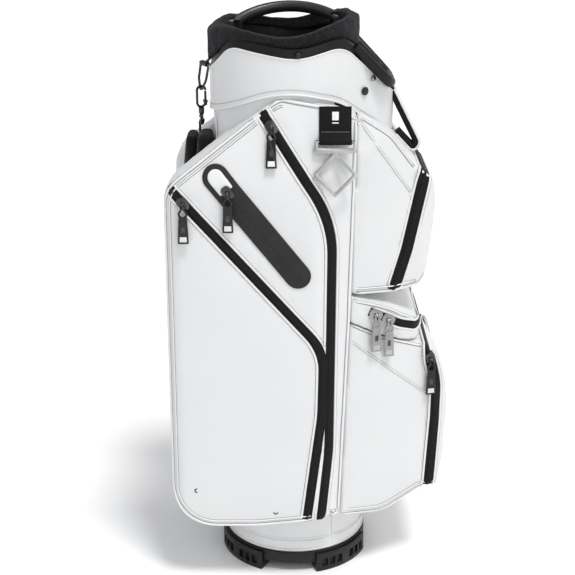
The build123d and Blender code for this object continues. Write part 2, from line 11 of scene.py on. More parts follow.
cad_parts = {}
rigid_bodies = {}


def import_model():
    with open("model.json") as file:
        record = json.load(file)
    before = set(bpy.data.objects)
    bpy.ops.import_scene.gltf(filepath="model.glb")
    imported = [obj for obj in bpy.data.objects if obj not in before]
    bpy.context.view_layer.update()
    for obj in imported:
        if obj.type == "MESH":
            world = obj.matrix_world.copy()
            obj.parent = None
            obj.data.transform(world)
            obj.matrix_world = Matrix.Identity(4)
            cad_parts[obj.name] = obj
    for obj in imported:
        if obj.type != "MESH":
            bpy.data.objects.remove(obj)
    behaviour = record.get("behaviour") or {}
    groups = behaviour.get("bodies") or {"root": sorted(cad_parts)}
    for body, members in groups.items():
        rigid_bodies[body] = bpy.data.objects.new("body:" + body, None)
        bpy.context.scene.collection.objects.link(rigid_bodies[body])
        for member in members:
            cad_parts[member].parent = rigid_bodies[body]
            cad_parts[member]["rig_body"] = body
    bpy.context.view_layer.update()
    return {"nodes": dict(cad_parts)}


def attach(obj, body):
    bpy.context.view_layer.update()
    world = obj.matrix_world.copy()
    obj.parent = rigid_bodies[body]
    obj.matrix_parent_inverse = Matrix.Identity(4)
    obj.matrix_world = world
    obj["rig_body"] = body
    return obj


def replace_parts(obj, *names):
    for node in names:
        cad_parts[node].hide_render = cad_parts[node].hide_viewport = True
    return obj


# A golf cart bag. Lengths below are millimetres, drawn where the CAD draws them, and place() turns
# them into the shared frame in metres.

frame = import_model()
NODES = frame["nodes"]
AXIS_X = -30.0
MM = 0.001
LEAN = 35 / 132
SIDE_Y = 160.0


def place(x, y, z):
    return Vector(((x + AXIS_X) * MM, y * MM, z * MM))


def drawn(co):
    """Frame metres, as an array, to drawing millimetres."""
    out = np.array(co) / MM
    out[:, 0] -= AXIS_X
    return out


# ---- materials -------------------------------------------------------------------------------

class Finish:
    """A procedural material built step by step."""

    def __init__(self, name, color, rough, metallic=0.0, **sockets):
        self.mat = bpy.data.materials.new(name)
        self.mat.use_nodes = True
        self.nodes = self.mat.node_tree.nodes
        self.links = self.mat.node_tree.links
        self.bsdf = self.nodes["Principled BSDF"]
        self.set(self.bsdf, "Metallic", metallic)
        for key, value in sockets.items():
            self.set(self.bsdf, key.replace("_", " "), value)
        self.coords = self.nodes.new("ShaderNodeTexCoord").outputs["Object"]
        self.color = color
        self.rough = rough
        self.set(self.bsdf, "Base Color", (*color, 1))
        self.set(self.bsdf, "Roughness", rough)
        self.normal = None

    def set(self, node, socket, value):
        node.inputs[socket].default_value = value

    def pattern(self, kind, **values):
        """A texture node over the object's own coordinates."""
        node = self.nodes.new("ShaderNodeTex" + kind)
        for key, value in values.items():
            node.inputs[key].default_value = value
        self.links.new(self.coords, node.inputs["Vector"])
        return node

    def noise(self, scale, detail=3.0, rough=0.5):
        return self.pattern("Noise", Scale=scale, Detail=detail, Roughness=rough).outputs["Fac"]

    def cells(self, scale):
        return self.pattern("Voronoi", Scale=scale).outputs["Distance"]

    def wave(self, scale, direction, distort):
        node = self.pattern("Wave", Scale=scale, Distortion=distort, Detail=1.0)
        node.bands_direction = direction
        return node.outputs["Fac"]

    def mix_math(self, a, b, operation="MULTIPLY"):
        node = self.nodes.new("ShaderNodeMath")
        node.operation = operation
        self.links.new(a, node.inputs[0])
        if isinstance(b, float):
            node.inputs[1].default_value = b
        else:
            self.links.new(b, node.inputs[1])
        return node.outputs[0]

    def ramp(self, fac, low, high, start=0.3, end=0.7):
        node = self.nodes.new("ShaderNodeValToRGB")
        node.color_ramp.elements[0].position = start
        node.color_ramp.elements[1].position = end
        node.color_ramp.elements[0].color = (*low, 1)
        node.color_ramp.elements[1].color = (*high, 1)
        self.links.new(fac, node.inputs["Fac"])
        return node.outputs["Color"]

    def tint(self, fac, low, high, start=0.3, end=0.7):
        """Colour between two shades by a pattern."""
        self.links.new(self.ramp(fac, low, high, start, end), self.bsdf.inputs["Base Color"])
        return self

    def roughness(self, fac, low, high):
        node = self.nodes.new("ShaderNodeMapRange")
        node.inputs["From Min"].default_value = 0.3
        node.inputs["From Max"].default_value = 0.7
        node.inputs["To Min"].default_value = low
        node.inputs["To Max"].default_value = high
        self.links.new(fac, node.inputs["Value"])
        self.links.new(node.outputs["Result"], self.bsdf.inputs["Roughness"])
        return self

    def bump(self, height, strength, distance):
        node = self.nodes.new("ShaderNodeBump")
        node.inputs["Strength"].default_value = strength
        node.inputs["Distance"].default_value = distance
        self.links.new(height, node.inputs["Height"])
        if self.normal is not None:
            self.links.new(self.normal, node.inputs["Normal"])
        self.normal = node.outputs["Normal"]
        self.links.new(self.normal, self.bsdf.inputs["Normal"])
        return self


def shade(value, tint=0.0):
    """A neutral shade, tint making it a little cooler."""
    return (value * (1 - tint), value * (1 - tint * 0.3), value * (1 + tint * 0.3))


def leather(name, value, rough=0.44, grain=1.0):
    f = Finish(name, shade(value, 0.01), rough)
    f.set(f.bsdf, "Specular IOR Level", 0.42)
    f.set(f.bsdf, "Coat Weight", 0.08)
    f.set(f.bsdf, "Coat Roughness", 0.3)
    f.tint(f.noise(9, 4, 0.55), shade(value * 0.975, 0.012), shade(value, 0.006))
    f.roughness(f.noise(60, 4), rough - 0.05, rough + 0.07)
    f.bump(f.noise(16, 2), 0.25, 0.0016)
    f.bump(f.cells(1150), 0.16 * grain, 0.00025)
    f.bump(f.noise(700, 3), 0.12 * grain, 0.0002)
    return f.mat


def plastic(name, value, rough=0.42, grain=0.25, shine=0.3):
    f = Finish(name, shade(value), rough)
    f.set(f.bsdf, "Specular IOR Level", shine)
    f.tint(f.noise(45, 4), shade(value * 0.82), shade(value * 1.12))
    f.roughness(f.noise(120, 4), rough - 0.07, rough + 0.08)
    f.bump(f.cells(900), grain, 0.0002)
    return f.mat


def woven(name, value, pitch=0.9):
    """Plain weave: two families of threads crossing, read from object space."""
    f = Finish(name, shade(value), 0.72)
    f.set(f.bsdf, "Sheen Weight", 0.05)
    f.set(f.bsdf, "Sheen Roughness", 0.4)
    f.set(f.bsdf, "Specular IOR Level", 0.18)
    threads = 1000.0 / pitch / 6.2832
    warp = f.wave(threads, "X", 0.4)
    weft = f.wave(threads, "Z", 0.4)
    cross = f.mix_math(warp, weft)
    f.tint(f.mix_math(cross, f.noise(400, 2), "ADD"), shade(value * 0.6), shade(value * 1.5), 0.3, 1.3)
    f.bump(cross, 0.5, 0.0004)
    f.bump(f.noise(60, 3), 0.2, 0.0005)
    return f.mat


def metal(name, value, rough, dark=0.85):
    f = Finish(name, shade(value), rough, metallic=1.0)
    f.tint(f.noise(70, 3), shade(value * dark), shade(value))
    f.roughness(f.noise(180, 4), rough - 0.06, rough + 0.08)
    f.bump(f.noise(900, 2), 0.05, 0.0001)
    return f.mat


def fleece_finish():
    f = Finish("fleece", shade(0.012), 0.95)
    f.set(f.bsdf, "Sheen Weight", 0.14)
    f.set(f.bsdf, "Sheen Roughness", 0.55)
    f.set(f.bsdf, "Sheen Tint", (0.55, 0.57, 0.62, 1))
    f.set(f.bsdf, "Specular IOR Level", 0.06)
    f.tint(f.noise(260, 5, 0.7), shade(0.004), shade(0.022, 0.04))
    f.bump(f.noise(650, 4, 0.7), 0.9, 0.0012)
    f.bump(f.noise(90, 3), 0.5, 0.002)
    return f.mat


def floor_finish():
    f = Finish("floor", (0.93, 0.93, 0.93), 0.85)
    f.set(f.bsdf, "Specular IOR Level", 0.1)
    f.tint(f.noise(3, 2), (0.925, 0.925, 0.925), (0.94, 0.94, 0.94))
    return f.mat


WHITE = leather("white_leather", 0.70)
TRIM = leather("white_trim", 0.74, 0.36, 0.5)
# Painted shade: a dark grey leather laid in thin strips beside pipings, lips and seams where their gaps would
# be in shadow. The cuff hem's stitches use the same grey.
SHADE_AND_STITCH_GREY = leather("painted_seam_shade_and_stitch_grey", 0.26, 0.6)
BLACK_LEATHER = leather("black_leather", 0.016, 0.5)
MOULDED = plastic("moulded_black", 0.009, 0.42)
CHARCOAL = plastic("moulded_charcoal", 0.006, 0.42, shine=0.25)
GRIP = plastic("satin_grip", 0.020, 0.34, shine=0.5)
FLEECE = fleece_finish()
WEBBING = woven("black_webbing", 0.004, pitch=1.5)
TAPE_CLOTH = woven("zip_tape", 0.005, pitch=0.7)
LINING = woven("black_lining", 0.012, pitch=0.6)
PAD_CLOTH = woven("black_padding", 0.006, pitch=1.1)
COIL = plastic("zip_coil", 0.010, 0.35, 0.1)
PATCH = plastic("rubber_patch", 0.017, 0.6, 0.15)
GUNMETAL = metal("gunmetal", 0.10, 0.24, 0.6)
SATIN = metal("satin_metal", 0.50, 0.30)
SILVER = metal("silver_pull", 0.34, 0.26)
GLOSS = plastic("black_gloss", 0.006, 0.14, 0.02, 0.4)
THREAD = woven("grey_thread", 0.38, pitch=0.4)
WHITE_THREAD = woven("white_thread", 0.75, pitch=0.4)
FIBRE = plastic("fibre_rod", 0.02, 0.35, 0.1)
WHITE_INSERT = plastic("white_insert", 0.7, 0.25, 0.05)


# ---- mesh helpers ----------------------------------------------------------------------------

def linked(name, data):
    """A new object in the scene."""
    obj = bpy.data.objects.new(name, data)
    bpy.context.scene.collection.objects.link(obj)
    return obj


def taken(obj):
    """The mesh of a working object, which goes."""
    mesh = obj.data.copy()
    bpy.data.objects.remove(obj)
    return mesh


def quads(rows, count):
    """Faces of rows of count points, each row a closed ring."""
    faces = []
    for j in range(rows):
        for i in range(count):
            k = (i + 1) % count
            faces.append((j * count + i, j * count + k, (j + 1) * count + k, (j + 1) * count + i))
    return faces


def piece(name, verts, faces, material, body="bag", smooth=True):
    mesh = bpy.data.meshes.new(name)
    mesh.from_pydata([tuple(v) for v in verts], [], faces)
    mesh.update()
    return piece_from(name, mesh, material, body, smooth)


def piece_from(name, mesh, material, body="bag", smooth=True):
    mesh.materials.clear()
    mesh.materials.append(material)
    bm = bmesh.new()
    bm.from_mesh(mesh)
    bmesh.ops.remove_doubles(bm, verts=bm.verts, dist=1e-6)
    bmesh.ops.recalc_face_normals(bm, faces=bm.faces)
    for face in bm.faces:
        face.smooth = smooth
        face.material_index = 0
    bm.to_mesh(mesh)
    bm.free()
    obj = linked(name, mesh)
    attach(obj, body)
    return obj


def coords(mesh):
    co = np.empty(len(mesh.vertices) * 3, np.float32)
    mesh.vertices.foreach_get("co", co)
    return co.reshape(-1, 3).astype(float)


def set_coords(mesh, co):
    mesh.vertices.foreach_set("co", np.asarray(co, np.float32).ravel())
    mesh.update()


def baked(obj):
    """Give obj the mesh its modifiers make."""
    graph = bpy.context.evaluated_depsgraph_get()
    graph.update()
    mesh = bpy.data.meshes.new_from_object(obj.evaluated_get(graph))
    obj.modifiers.clear()
    old = obj.data
    obj.data = mesh
    bpy.data.meshes.remove(old)
    return obj


def node_mesh(node):
    return NODES[node].data.copy()


def beveled(node, name, material, width):
    """A hard part as its CAD node, with its edges softened."""
    mesh = node_mesh(node)
    mesh.materials.clear()
    mesh.materials.append(material)
    bm = bmesh.new()
    bm.from_mesh(mesh)
    bmesh.ops.remove_doubles(bm, verts=bm.verts, dist=2e-6)
    bmesh.ops.dissolve_limit(bm, angle_limit=math.radians(1.0), verts=bm.verts, edges=bm.edges)
    bm.to_mesh(mesh)
    bm.free()
    obj = linked(name, mesh)
    mod = obj.modifiers.new("bevel", "BEVEL")
    mod.width = width
    mod.segments = 2
    mod.limit_method = "ANGLE"
    mod.angle_limit = math.radians(35)
    mod.harden_normals = False
    baked(obj)
    for poly in obj.data.polygons:
        poly.use_smooth = True
        poly.material_index = 0
    obj.data.set_sharp_from_angle(angle=math.radians(40))
    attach(obj, NODES[node]["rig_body"])
    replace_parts(obj, node)
    return obj


def remeshed(mesh, name, voxel, rounds=3):
    obj = linked(name, mesh)
    mod = obj.modifiers.new("remesh", "REMESH")
    mod.mode = "VOXEL"
    mod.voxel_size = voxel
    mod.use_smooth_shade = True
    smooth = obj.modifiers.new("smooth", "SMOOTH")
    smooth.iterations = rounds
    smooth.factor = 0.5
    return baked(obj)


def creases(obj, threshold=5.0):
    """Marks the vertices where the surface turns, as pinned."""
    mesh = obj.data
    mesh.update()
    normals = np.array([v.normal for v in mesh.vertices])
    edges = np.array([tuple(e.vertices) for e in mesh.edges])
    dots = (normals[edges[:, 0]] * normals[edges[:, 1]]).sum(1).clip(-1, 1)
    angles = np.degrees(np.arccos(dots))
    turn = np.zeros(len(normals))
    np.maximum.at(turn, edges[:, 0], angles)
    np.maximum.at(turn, edges[:, 1], angles)
    return turn > threshold


CLOTH_FRAMES = 18
CLOTH_STIFFNESS = 12.0


def inflate(obj, pinned, pressure, cap):
    """Puffs the free parts of a closed mesh with Blender's cloth; pinned vertices stay."""
    group = obj.vertex_groups.new(name="pin")
    group.add([int(i) for i in np.nonzero(pinned)[0]], 1.0, "REPLACE")
    mod = obj.modifiers.new("cloth", "CLOTH")
    settings = mod.settings
    settings.quality = 5
    settings.mass = 0.25
    settings.tension_stiffness = CLOTH_STIFFNESS
    settings.compression_stiffness = CLOTH_STIFFNESS
    settings.shear_stiffness = CLOTH_STIFFNESS * 0.4
    settings.bending_stiffness = 0.6
    settings.vertex_group_mass = "pin"
    settings.use_pressure = True
    settings.uniform_pressure_force = pressure
    settings.effector_weights.gravity = 0.0
    mod.collision_settings.use_collision = False
    mod.collision_settings.use_self_collision = False
    scene = bpy.context.scene
    rest = coords(obj.data)
    for step in range(1, CLOTH_FRAMES + 1):
        scene.frame_set(step)
    graph = bpy.context.evaluated_depsgraph_get()
    moved = coords(obj.evaluated_get(graph).data)
    obj.modifiers.clear()
    obj.vertex_groups.clear()
    scene.frame_set(1)
    step = moved - rest
    length = np.linalg.norm(step, axis=1, keepdims=True) + 1e-12
    held = np.tanh(length / cap) * cap
    set_coords(obj.data, rest + step / length * held)
    return obj


def refine(obj):
    mod = obj.modifiers.new("sub", "SUBSURF")
    mod.levels = 1
    mod.render_levels = 1
    baked(obj)
    for poly in obj.data.polygons:
        poly.use_smooth = True
    return obj


def tree_of(*objs):
    """One BVH tree over several meshes, all of them at the origin."""
    verts, faces = [], []
    for obj in objs:
        base = len(verts)
        verts += [v.co.copy() for v in obj.data.vertices]
        faces += [[base + i for i in p.vertices] for p in obj.data.polygons]
    return BVHTree.FromPolygons(verts, faces)


# ---- paths -----------------------------------------------------------------------------------

def resample(points, step, closed=False):
    pts = [np.array(p, float) for p in points]
    if closed:
        pts.append(pts[0])
    pts = np.array(pts)
    run = np.concatenate([[0], np.cumsum(np.linalg.norm(np.diff(pts, axis=0), axis=1))])
    count = max(2, int(round(run[-1] / step)) + 1)
    at = np.linspace(0, run[-1], count)
    out = np.stack([np.interp(at, run, pts[:, k]) for k in range(pts.shape[1])], 1)
    return out[:-1] if closed else out


def rounded(points, radii, step=3.0, closed=False):
    """Points every step along a polyline whose corners are rounded with these radii."""
    pts = [Vector(p) for p in points]
    count = len(pts)
    out = []
    for i, p in enumerate(pts):
        ends = not closed and i in (0, count - 1)
        r = 0 if ends else (radii[i] if closed else radii[i - 1])
        if r == 0:
            out.append(tuple(p))
            continue
        a = (pts[i - 1] - p).normalized()
        b = (pts[(i + 1) % count] - p).normalized()
        half = math.acos(max(-1, min(1, a.dot(b)))) / 2
        reach = r / math.tan(half)
        centre = p + (a + b).normalized() * (r / math.sin(half))
        v0, v1 = p + a * reach - centre, p + b * reach - centre
        start = math.atan2(v0.y, v0.x)
        turn = math.atan2(v1.y, v1.x) - start
        turn = (turn + math.pi) % (2 * math.pi) - math.pi
        steps = max(3, int(abs(turn) * r / 2.0))
        for k in range(steps + 1):
            t = start + turn * k / steps
            out.append((centre.x + r * math.cos(t), centre.y + r * math.sin(t)))
    return resample(out, step, closed)


def beside(path, distance):
    """The 2-D path moved sideways; a positive distance is to the left of its direction."""
    path = np.asarray(path, float)
    step = np.gradient(path, axis=0)
    step /= np.linalg.norm(step, axis=1, keepdims=True) + 1e-9
    return path + np.stack([-step[:, 1], step[:, 0]], 1) * distance


def settled(rows, rounds=4):
    """Smooths the positions and the normals of rows laid on a rough surface."""
    if len(rows) < 4:
        return rows
    pos = np.array([r[0] for r in rows])
    nor = np.array([r[1] for r in rows])
    for _ in range(rounds):
        pos[1:-1] = pos[1:-1] * 0.5 + (pos[:-2] + pos[2:]) * 0.25
    for _ in range(rounds * 2):
        nor[1:-1] = nor[1:-1] * 0.4 + (nor[:-2] + nor[2:]) * 0.3
    nor /= np.linalg.norm(nor, axis=1, keepdims=True)
    return [(Vector(p), Vector(n)) for p, n in zip(pos, nor)]


def laid(tree, path, side):
    """Rows (position, normal) where a path in X and Z falls on the surface seen from one side in Y."""
    rows = []
    for x, z in path:
        hit, normal, _, _ = tree.ray_cast(place(x, side * 400, z), Vector((0, -side, 0)))
        if hit is not None and normal.y * side > 0.05:
            rows.append((hit, normal))
    return settled(rows)


def snapped(tree, points, rounds=4):
    """Rows on the surface nearest to a guide path drawn in millimetres."""
    rows = []
    for x, y, z in points:
        hit, normal, _, _ = tree.find_nearest(place(x, y, z))
        rows.append((hit, normal))
    return settled(rows, rounds)


def sweep_data(rows, profile, closed_path=False, taper=0):
    """Verts and faces of a profile of (across, out) millimetres carried along rows."""
    count, width = len(rows), len(profile)
    verts, faces = [], []
    for i, (pos, normal) in enumerate(rows):
        before = rows[i - 1][0] if (i > 0 or closed_path) else pos
        after = rows[(i + 1) % count][0] if (i < count - 1 or closed_path) else pos
        tangent = (after - before).normalized()
        out = (normal - tangent * normal.dot(tangent)).normalized()
        across = tangent.cross(out)
        grow = 1.0
        if taper and not closed_path:
            grow = min(1.0, 0.25 + 0.75 * min(i, count - 1 - i) / taper)
        for u, v in profile:
            verts.append(pos + across * (u * MM * grow) + out * (v * MM * grow))
    last = count if closed_path else count - 1
    for i in range(last):
        a, b = i * width, ((i + 1) % count) * width
        for k in range(width):
            n = (k + 1) % width
            faces.append((a + k, a + n, b + n, b + k))
    if not closed_path:
        faces.append(tuple(range(width)))
        faces.append(tuple(range((count - 1) * width, count * width)))
    return verts, faces


def circle(radius, lift=0.0):
    turns = [2 * math.pi * k / 10 for k in range(10)]
    return [(radius * math.cos(t), lift + radius * math.sin(t)) for t in turns]


def joined(parts):
    verts, faces = [], []
    for v, f in parts:
        base = len(verts)
        verts += v
        faces += [tuple(base + i for i in face) for face in f]
    return verts, faces


def cord_on(name, runs, radius, lift, material):
    """Piping: a round cord along one or more runs of rows, half sunk in the seam."""
    parts = [sweep_data(r, circle(radius, lift), taper=3) for r in runs if len(r) > 3]
    verts, faces = joined(parts)
    return piece(name, verts, faces, material, "bag")


def painted_shade_on(name, runs, shifts, width=1.1):
    """Painted shade beside a piping or a lip: a thin dark strip laid on the leather, standing in for the
    shadowed gap of the seam.
    """
    profile = [(-width / 2, -0.2), (-width / 2, 0.16), (width / 2, 0.16), (width / 2, -0.2)]
    parts = [sweep_data(r, [(u + s, v) for u, v in profile]) for r in runs if len(r) > 3 for s in shifts]
    verts, faces = joined(parts)
    return piece(name, verts, faces, SHADE_AND_STITCH_GREY, "bag")


def small_box(pos, along, across, out, length, width, height):
    """Eight corners and six faces of a little block that sits on pos, narrower at its top."""
    verts = []
    for level, shrink in ((0.0, 1.0), (height, 0.62)):
        for a, b in ((-1, -1), (1, -1), (1, 1), (-1, 1)):
            flat = along * (a * length / 2) + across * (b * width / 2)
            verts.append(pos + flat * shrink + out * level)
    faces = [(3, 2, 1, 0), (4, 5, 6, 7), (0, 1, 5, 4), (1, 2, 6, 5), (2, 3, 7, 6), (3, 0, 4, 7)]
    return verts, faces


def frames_along(rows):
    out = []
    for i, (pos, normal) in enumerate(rows):
        before = rows[max(i - 1, 0)][0]
        after = rows[min(i + 1, len(rows) - 1)][0]
        tangent = (after - before).normalized()
        up = (normal - tangent * normal.dot(tangent)).normalized()
        out.append((pos, tangent, tangent.cross(up), up))
    return out


def spaced(rows, step):
    """The rows again, evenly step millimetres apart."""
    if len(rows) < 3:
        return []
    table = np.array([[*p, *n] for p, n in rows])
    run = np.concatenate([[0], np.cumsum(np.linalg.norm(np.diff(table[:, :3], axis=0), axis=1))])
    count = int(run[-1] / (step * MM))
    at = np.linspace(0, run[-1], max(count, 2))
    out = np.stack([np.interp(at, run, table[:, k]) for k in range(6)], 1)
    return [(Vector(r[:3]), Vector(r[3:]).normalized()) for r in out]


def stitches(name, runs, material, pitch=4.2, length=3.0, width=0.9, shift=0.0, lift=0.1):
    parts = []
    for rows in runs:
        for pos, along, across, up in frames_along(spaced(rows, pitch)):
            parts.append(small_box(pos + across * (shift * MM) + up * (lift * MM), along, across, up,
                                   length * MM, width * MM, 0.5 * MM))
    if not parts:
        return None
    verts, faces = joined(parts)
    return piece(name, verts, faces, material, "bag", smooth=False)


COIL_PITCH = 1.9


def teeth(name, runs, lift):
    """The coil's turns: two rows of small bars that meet in the middle of the tape."""
    parts = []
    for rows in runs:
        for i, (pos, along, across, up) in enumerate(frames_along(spaced(rows, COIL_PITCH / 2))):
            side = 1 if i % 2 else -1
            centre = pos + across * (side * 1.15 * MM) + up * (lift * MM)
            parts.append(small_box(centre, along, across, up, 1.25 * MM, 3.0 * MM, 0.75 * MM))
    verts, faces = joined(parts)
    return piece(name, verts, faces, COIL, "bag", smooth=False)


def distance_to(path, xz):
    """Distance of each (x, z) to a polyline."""
    path = np.asarray(path, float)
    best = np.full(len(xz), 1e9)
    for a, b in zip(path[:-1], path[1:]):
        d = b - a
        t = np.clip(((xz - a) @ d) / max(d @ d, 1e-9), 0, 1)
        best = np.minimum(best, np.linalg.norm(xz - (a + t[:, None] * d), axis=1))
    return best


# ---- lines that the CAD and this scene share ------------------------------------------------------

MAIN = rounded([(-50, 803), (59, 638), (57, 245), (43, 100)], [190, 250])
DIAGONAL = rounded([(-196, 696), (47, 424), (45, 310), (19, 100)], [90, 250])
PATCH_ENDS = [(-120, 708), (6, 550)]
SIDE_EDGE = [(-203, 108), (-203, 690), (-25, 825), (62, 811), (96.7, 794), (89.7, 480), (75.7, 122),
             (-60, 108)]
SIDE_RADII = [75, 60, 30, 90, 0, 0, 0, 200]
SEAM = [(98, 840), (90, 480), (76, 90)]
NEAR, FAR = -1, 1


# ---- clothing pockets ------------------------------------------------------------------------

def pocket_pins(obj, lines, margin=11.0, threshold=5.0):
    """Corners and the ground under zips stay where the CAD has them."""
    xyz = drawn(coords(obj.data))
    pinned = creases(obj, threshold)
    xz = xyz[:, [0, 2]]
    for path, reach in lines:
        pinned |= distance_to(path, xz) < reach + margin
    return pinned


def crowned(obj, pinned, height, reach):
    """Lifts free ground along its normals, more the further it is from pinned ground."""
    mesh = obj.data
    mesh.update()
    co = coords(mesh)
    tree = KDTree(int(pinned.sum()))
    for k, i in enumerate(np.nonzero(pinned)[0]):
        tree.insert(co[i], k)
    tree.balance()
    free = np.nonzero(~pinned)[0]
    normals = np.array([v.normal for v in mesh.vertices])
    for i in free:
        d = tree.find(co[i])[2] / MM
        t = min(d / reach, 1.0)
        rise = height * (1 - (1 - t) ** 2)
        ripple = noise.noise(Vector(co[i]) * 14) * 0.9 + noise.noise(Vector(co[i]) * 31) * 0.35
        co[i] += normals[i] * (rise + ripple * t) * MM
    set_coords(mesh, co)
    return obj


def make_near_pocket():
    obj = remeshed(node_mesh("near_clothing_pocket"), "near_pocket", 0.0046)
    lines = [(MAIN, 9), (DIAGONAL, 9), (PATCH_ENDS, 22), ([(42, 790), (82, 790)], 30)]
    pinned = pocket_pins(obj, lines, 3.0)
    crowned(obj, pinned, 2.6, 60)
    inflate(obj, pinned, 1.6, 4.0)
    refine(obj)
    return taken(obj)


def flipped(mesh):
    """A mirrored copy across the XZ plane."""
    out = mesh.copy()
    out.transform(Matrix.Scale(-1, 4, (0, 1, 0)))
    out.flip_normals()
    return out


TAPE_HALF = 8.0
WELT = 3.8


def tape_profile(half):
    """A zip tape's section: thin cloth edges and a raised coil with a groove down its middle."""
    return [(-half, -0.4), (-half, 0.5), (-half + 1.2, 0.9), (-3.6, 0.9), (-3.1, 1.5), (-0.5, 1.6), (0, 1.1),
            (0.5, 1.6), (3.1, 1.5), (3.6, 0.9), (half - 1.2, 0.9), (half, 0.5), (half, -0.4)]


def welt_profile(width=WELT, height=1.5):
    """A folded lip: a flat turned edge of leather, rounded at both sides."""
    w = width / 2
    return [(-w, -0.6), (-w, height * 0.5), (-w * 0.72, height * 0.92), (0, height * 1.06),
            (w * 0.72, height * 0.92), (w, height * 0.5), (w, -0.6)]


def run_of(tree, path, side, keep):
    """Laid rows, split where keep says that a point is not wanted."""
    runs, current = [], []
    for p, ok in zip(path, keep):
        if ok:
            current.append(p)
        elif current:
            runs.append(current)
            current = []
    if current:
        runs.append(current)
    return [laid(tree, r, side) for r in runs if len(r) > 4]


def swept(name, runs, profile, material, taper=0):
    verts, faces = joined([sweep_data(r, profile, taper=taper) for r in runs if len(r) > 3])
    return piece(name, verts, faces, material, "bag")


def clear_of(path, other, gap):
    return distance_to(other, np.asarray(path, float)) > gap


def zip_on(tag, tree, path, side, keep_left, keep_right, node):
    """A zip: tape, coil turns, a folded lip on each side, and a row of stitches outside each lip."""
    centre = laid(tree, path, side)
    tape = swept(tag + "_tape", [centre], tape_profile(TAPE_HALF), TAPE_CLOTH)
    teeth(tag + "_coil", [centre], 1.5)
    lips, seams = [], []
    for sign, keep in ((1, keep_left), (-1, keep_right)):
        lip = beside(path, sign * (TAPE_HALF + WELT / 2 - 0.5))
        seam = beside(path, sign * (TAPE_HALF + WELT + 1.6))
        lips += run_of(tree, lip, side, keep(lip))
        seams += run_of(tree, seam, side, keep(seam))
    swept(tag + "_lips", lips, welt_profile(), TRIM, taper=3)
    painted_shade_on(tag + "_lip_grooves", lips, (-WELT / 2 - 0.3, WELT / 2 + 0.3))
    stitches(tag + "_stitches", seams, WHITE_THREAD)
    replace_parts(tape, node)


def clothing_pocket(tag, mesh, side):
    obj = piece_from(tag + "_pocket_shell", mesh, WHITE, "bag")
    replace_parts(obj, tag + "_clothing_pocket")
    tree = tree_of(obj)
    near, wide = TAPE_HALF, TAPE_HALF + WELT / 2
    zip_on(tag + "_main", tree, MAIN, side, lambda p: clear_of(p, DIAGONAL, near),
           lambda p: clear_of(p, DIAGONAL, wide), tag + "_main_tape")
    zip_on(tag + "_diagonal", tree, DIAGONAL, side, lambda p: clear_of(p, MAIN, wide),
           lambda p: clear_of(p, MAIN, near), tag + "_diagonal_tape")
    edge = rounded(SIDE_EDGE, SIDE_RADII, 3.0, closed=True)
    outline_path = np.vstack([edge, edge[:1]])
    seam_z, seam_x = zip(*reversed([(z, x) for x, z in SEAM]))
    for label, inset, radius in (("outer", 4.0, 2.2), ("inner", 11.5, 1.3)):
        path = beside(outline_path, inset * inward(outline_path))
        keep = [x < np.interp(z, seam_z, seam_x) - (15 if z > 135 else 3) and not (x > -16 and z > 700)
                and distance_to(MAIN, np.array([(x, z)]))[0] > 13 for x, z in path]
        start = keep.index(False)
        path, keep = np.roll(path[:-1], -start, axis=0), np.roll(keep[:-1], -start)
        rows = run_of(tree, path, side, keep)
        cord_on(f"{tag}_pocket_{label}_piping", rows, radius, 0.5, TRIM)
        painted_shade_on(f"{tag}_pocket_{label}_grooves", rows, (-radius - 0.3, radius + 0.3))
    return obj, tree


def inward(path):
    """+1 if left of the path is inside it, else -1."""
    x, z = np.asarray(path).T
    area = np.sum(x[:-1] * z[1:] - x[1:] * z[:-1])
    return 1 if area > 0 else -1


near_mesh = make_near_pocket()
far_mesh = flipped(near_mesh)
near_pocket, near_tree = clothing_pocket("near", near_mesh, NEAR)
_, far_tree = clothing_pocket("far", far_mesh, FAR)


# ---- front pockets -----------------------------------------------------------------------------

def front_shell(node, tag, voxel, height, reach, pressure, lines):
    obj = remeshed(node_mesh(node), tag, voxel, 2)
    pinned = pocket_pins(obj, lines, 2.0, 7.0)
    crowned(obj, pinned, height, reach)
    inflate(obj, pinned, pressure, 4.0)
    refine(obj)
    mesh = taken(obj)
    shell = piece_from(tag, mesh, WHITE, "bag")
    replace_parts(shell, node)
    return shell, tree_of(shell)


UPPER_LINE = rounded([(213, 724), (204, 688), (180, 572), (157, 495)], [0, 100])
SMALL_LINE = rounded([(120, 478), (172, 452.5), (228, 437)], [60])
BALL_LINE = rounded([(211, 428), (223, 391), (237, 335), (236, 270), (229, 130)], [0, 150, 250])

upper, upper_tree = front_shell("upper_pocket", "upper_pocket_shell", 0.0046, 3.0, 60, 1.6,
                                [(UPPER_LINE, 12)])
small, small_tree = front_shell("valuables_pocket", "valuables_pocket_shell", 0.0036, 1.5, 30, 1.2,
                                [(SMALL_LINE, 8)])
ball, ball_tree = front_shell("ball_pocket", "ball_pocket_shell", 0.0046, 3.4, 60, 1.8,
                              [(BALL_LINE, 11)])

UPPER_PLAN = [(40, -130), (216, -85)]
SMALL_PLAN = [(40, -142), (201, -101)]
BALL_PLAN = [(40, -139), (246, -86)]


def face_y(plan, x):
    (x0, y0), (x1, y1) = plan
    return y0 + (x - x0) * (y1 - y0) / (x1 - x0)


def wrap_guide(path, plan, push=(1.5, 1.5)):
    """Guide points up the near side of a front pocket, across its top or front, and down the far side."""
    near = [(x, face_y(plan, x), z) for x, z in path]
    xe, ye, ze = near[-1]
    across = [(xe + push[0], y, ze + push[1]) for y in np.arange(ye + 5, -ye - 4.9, 3.0)]
    far = [(x, -y, z) for x, y, z in reversed(near)]
    return near + across + far


def moved(profile, shift):
    return [(u + shift, v) for u, v in profile]


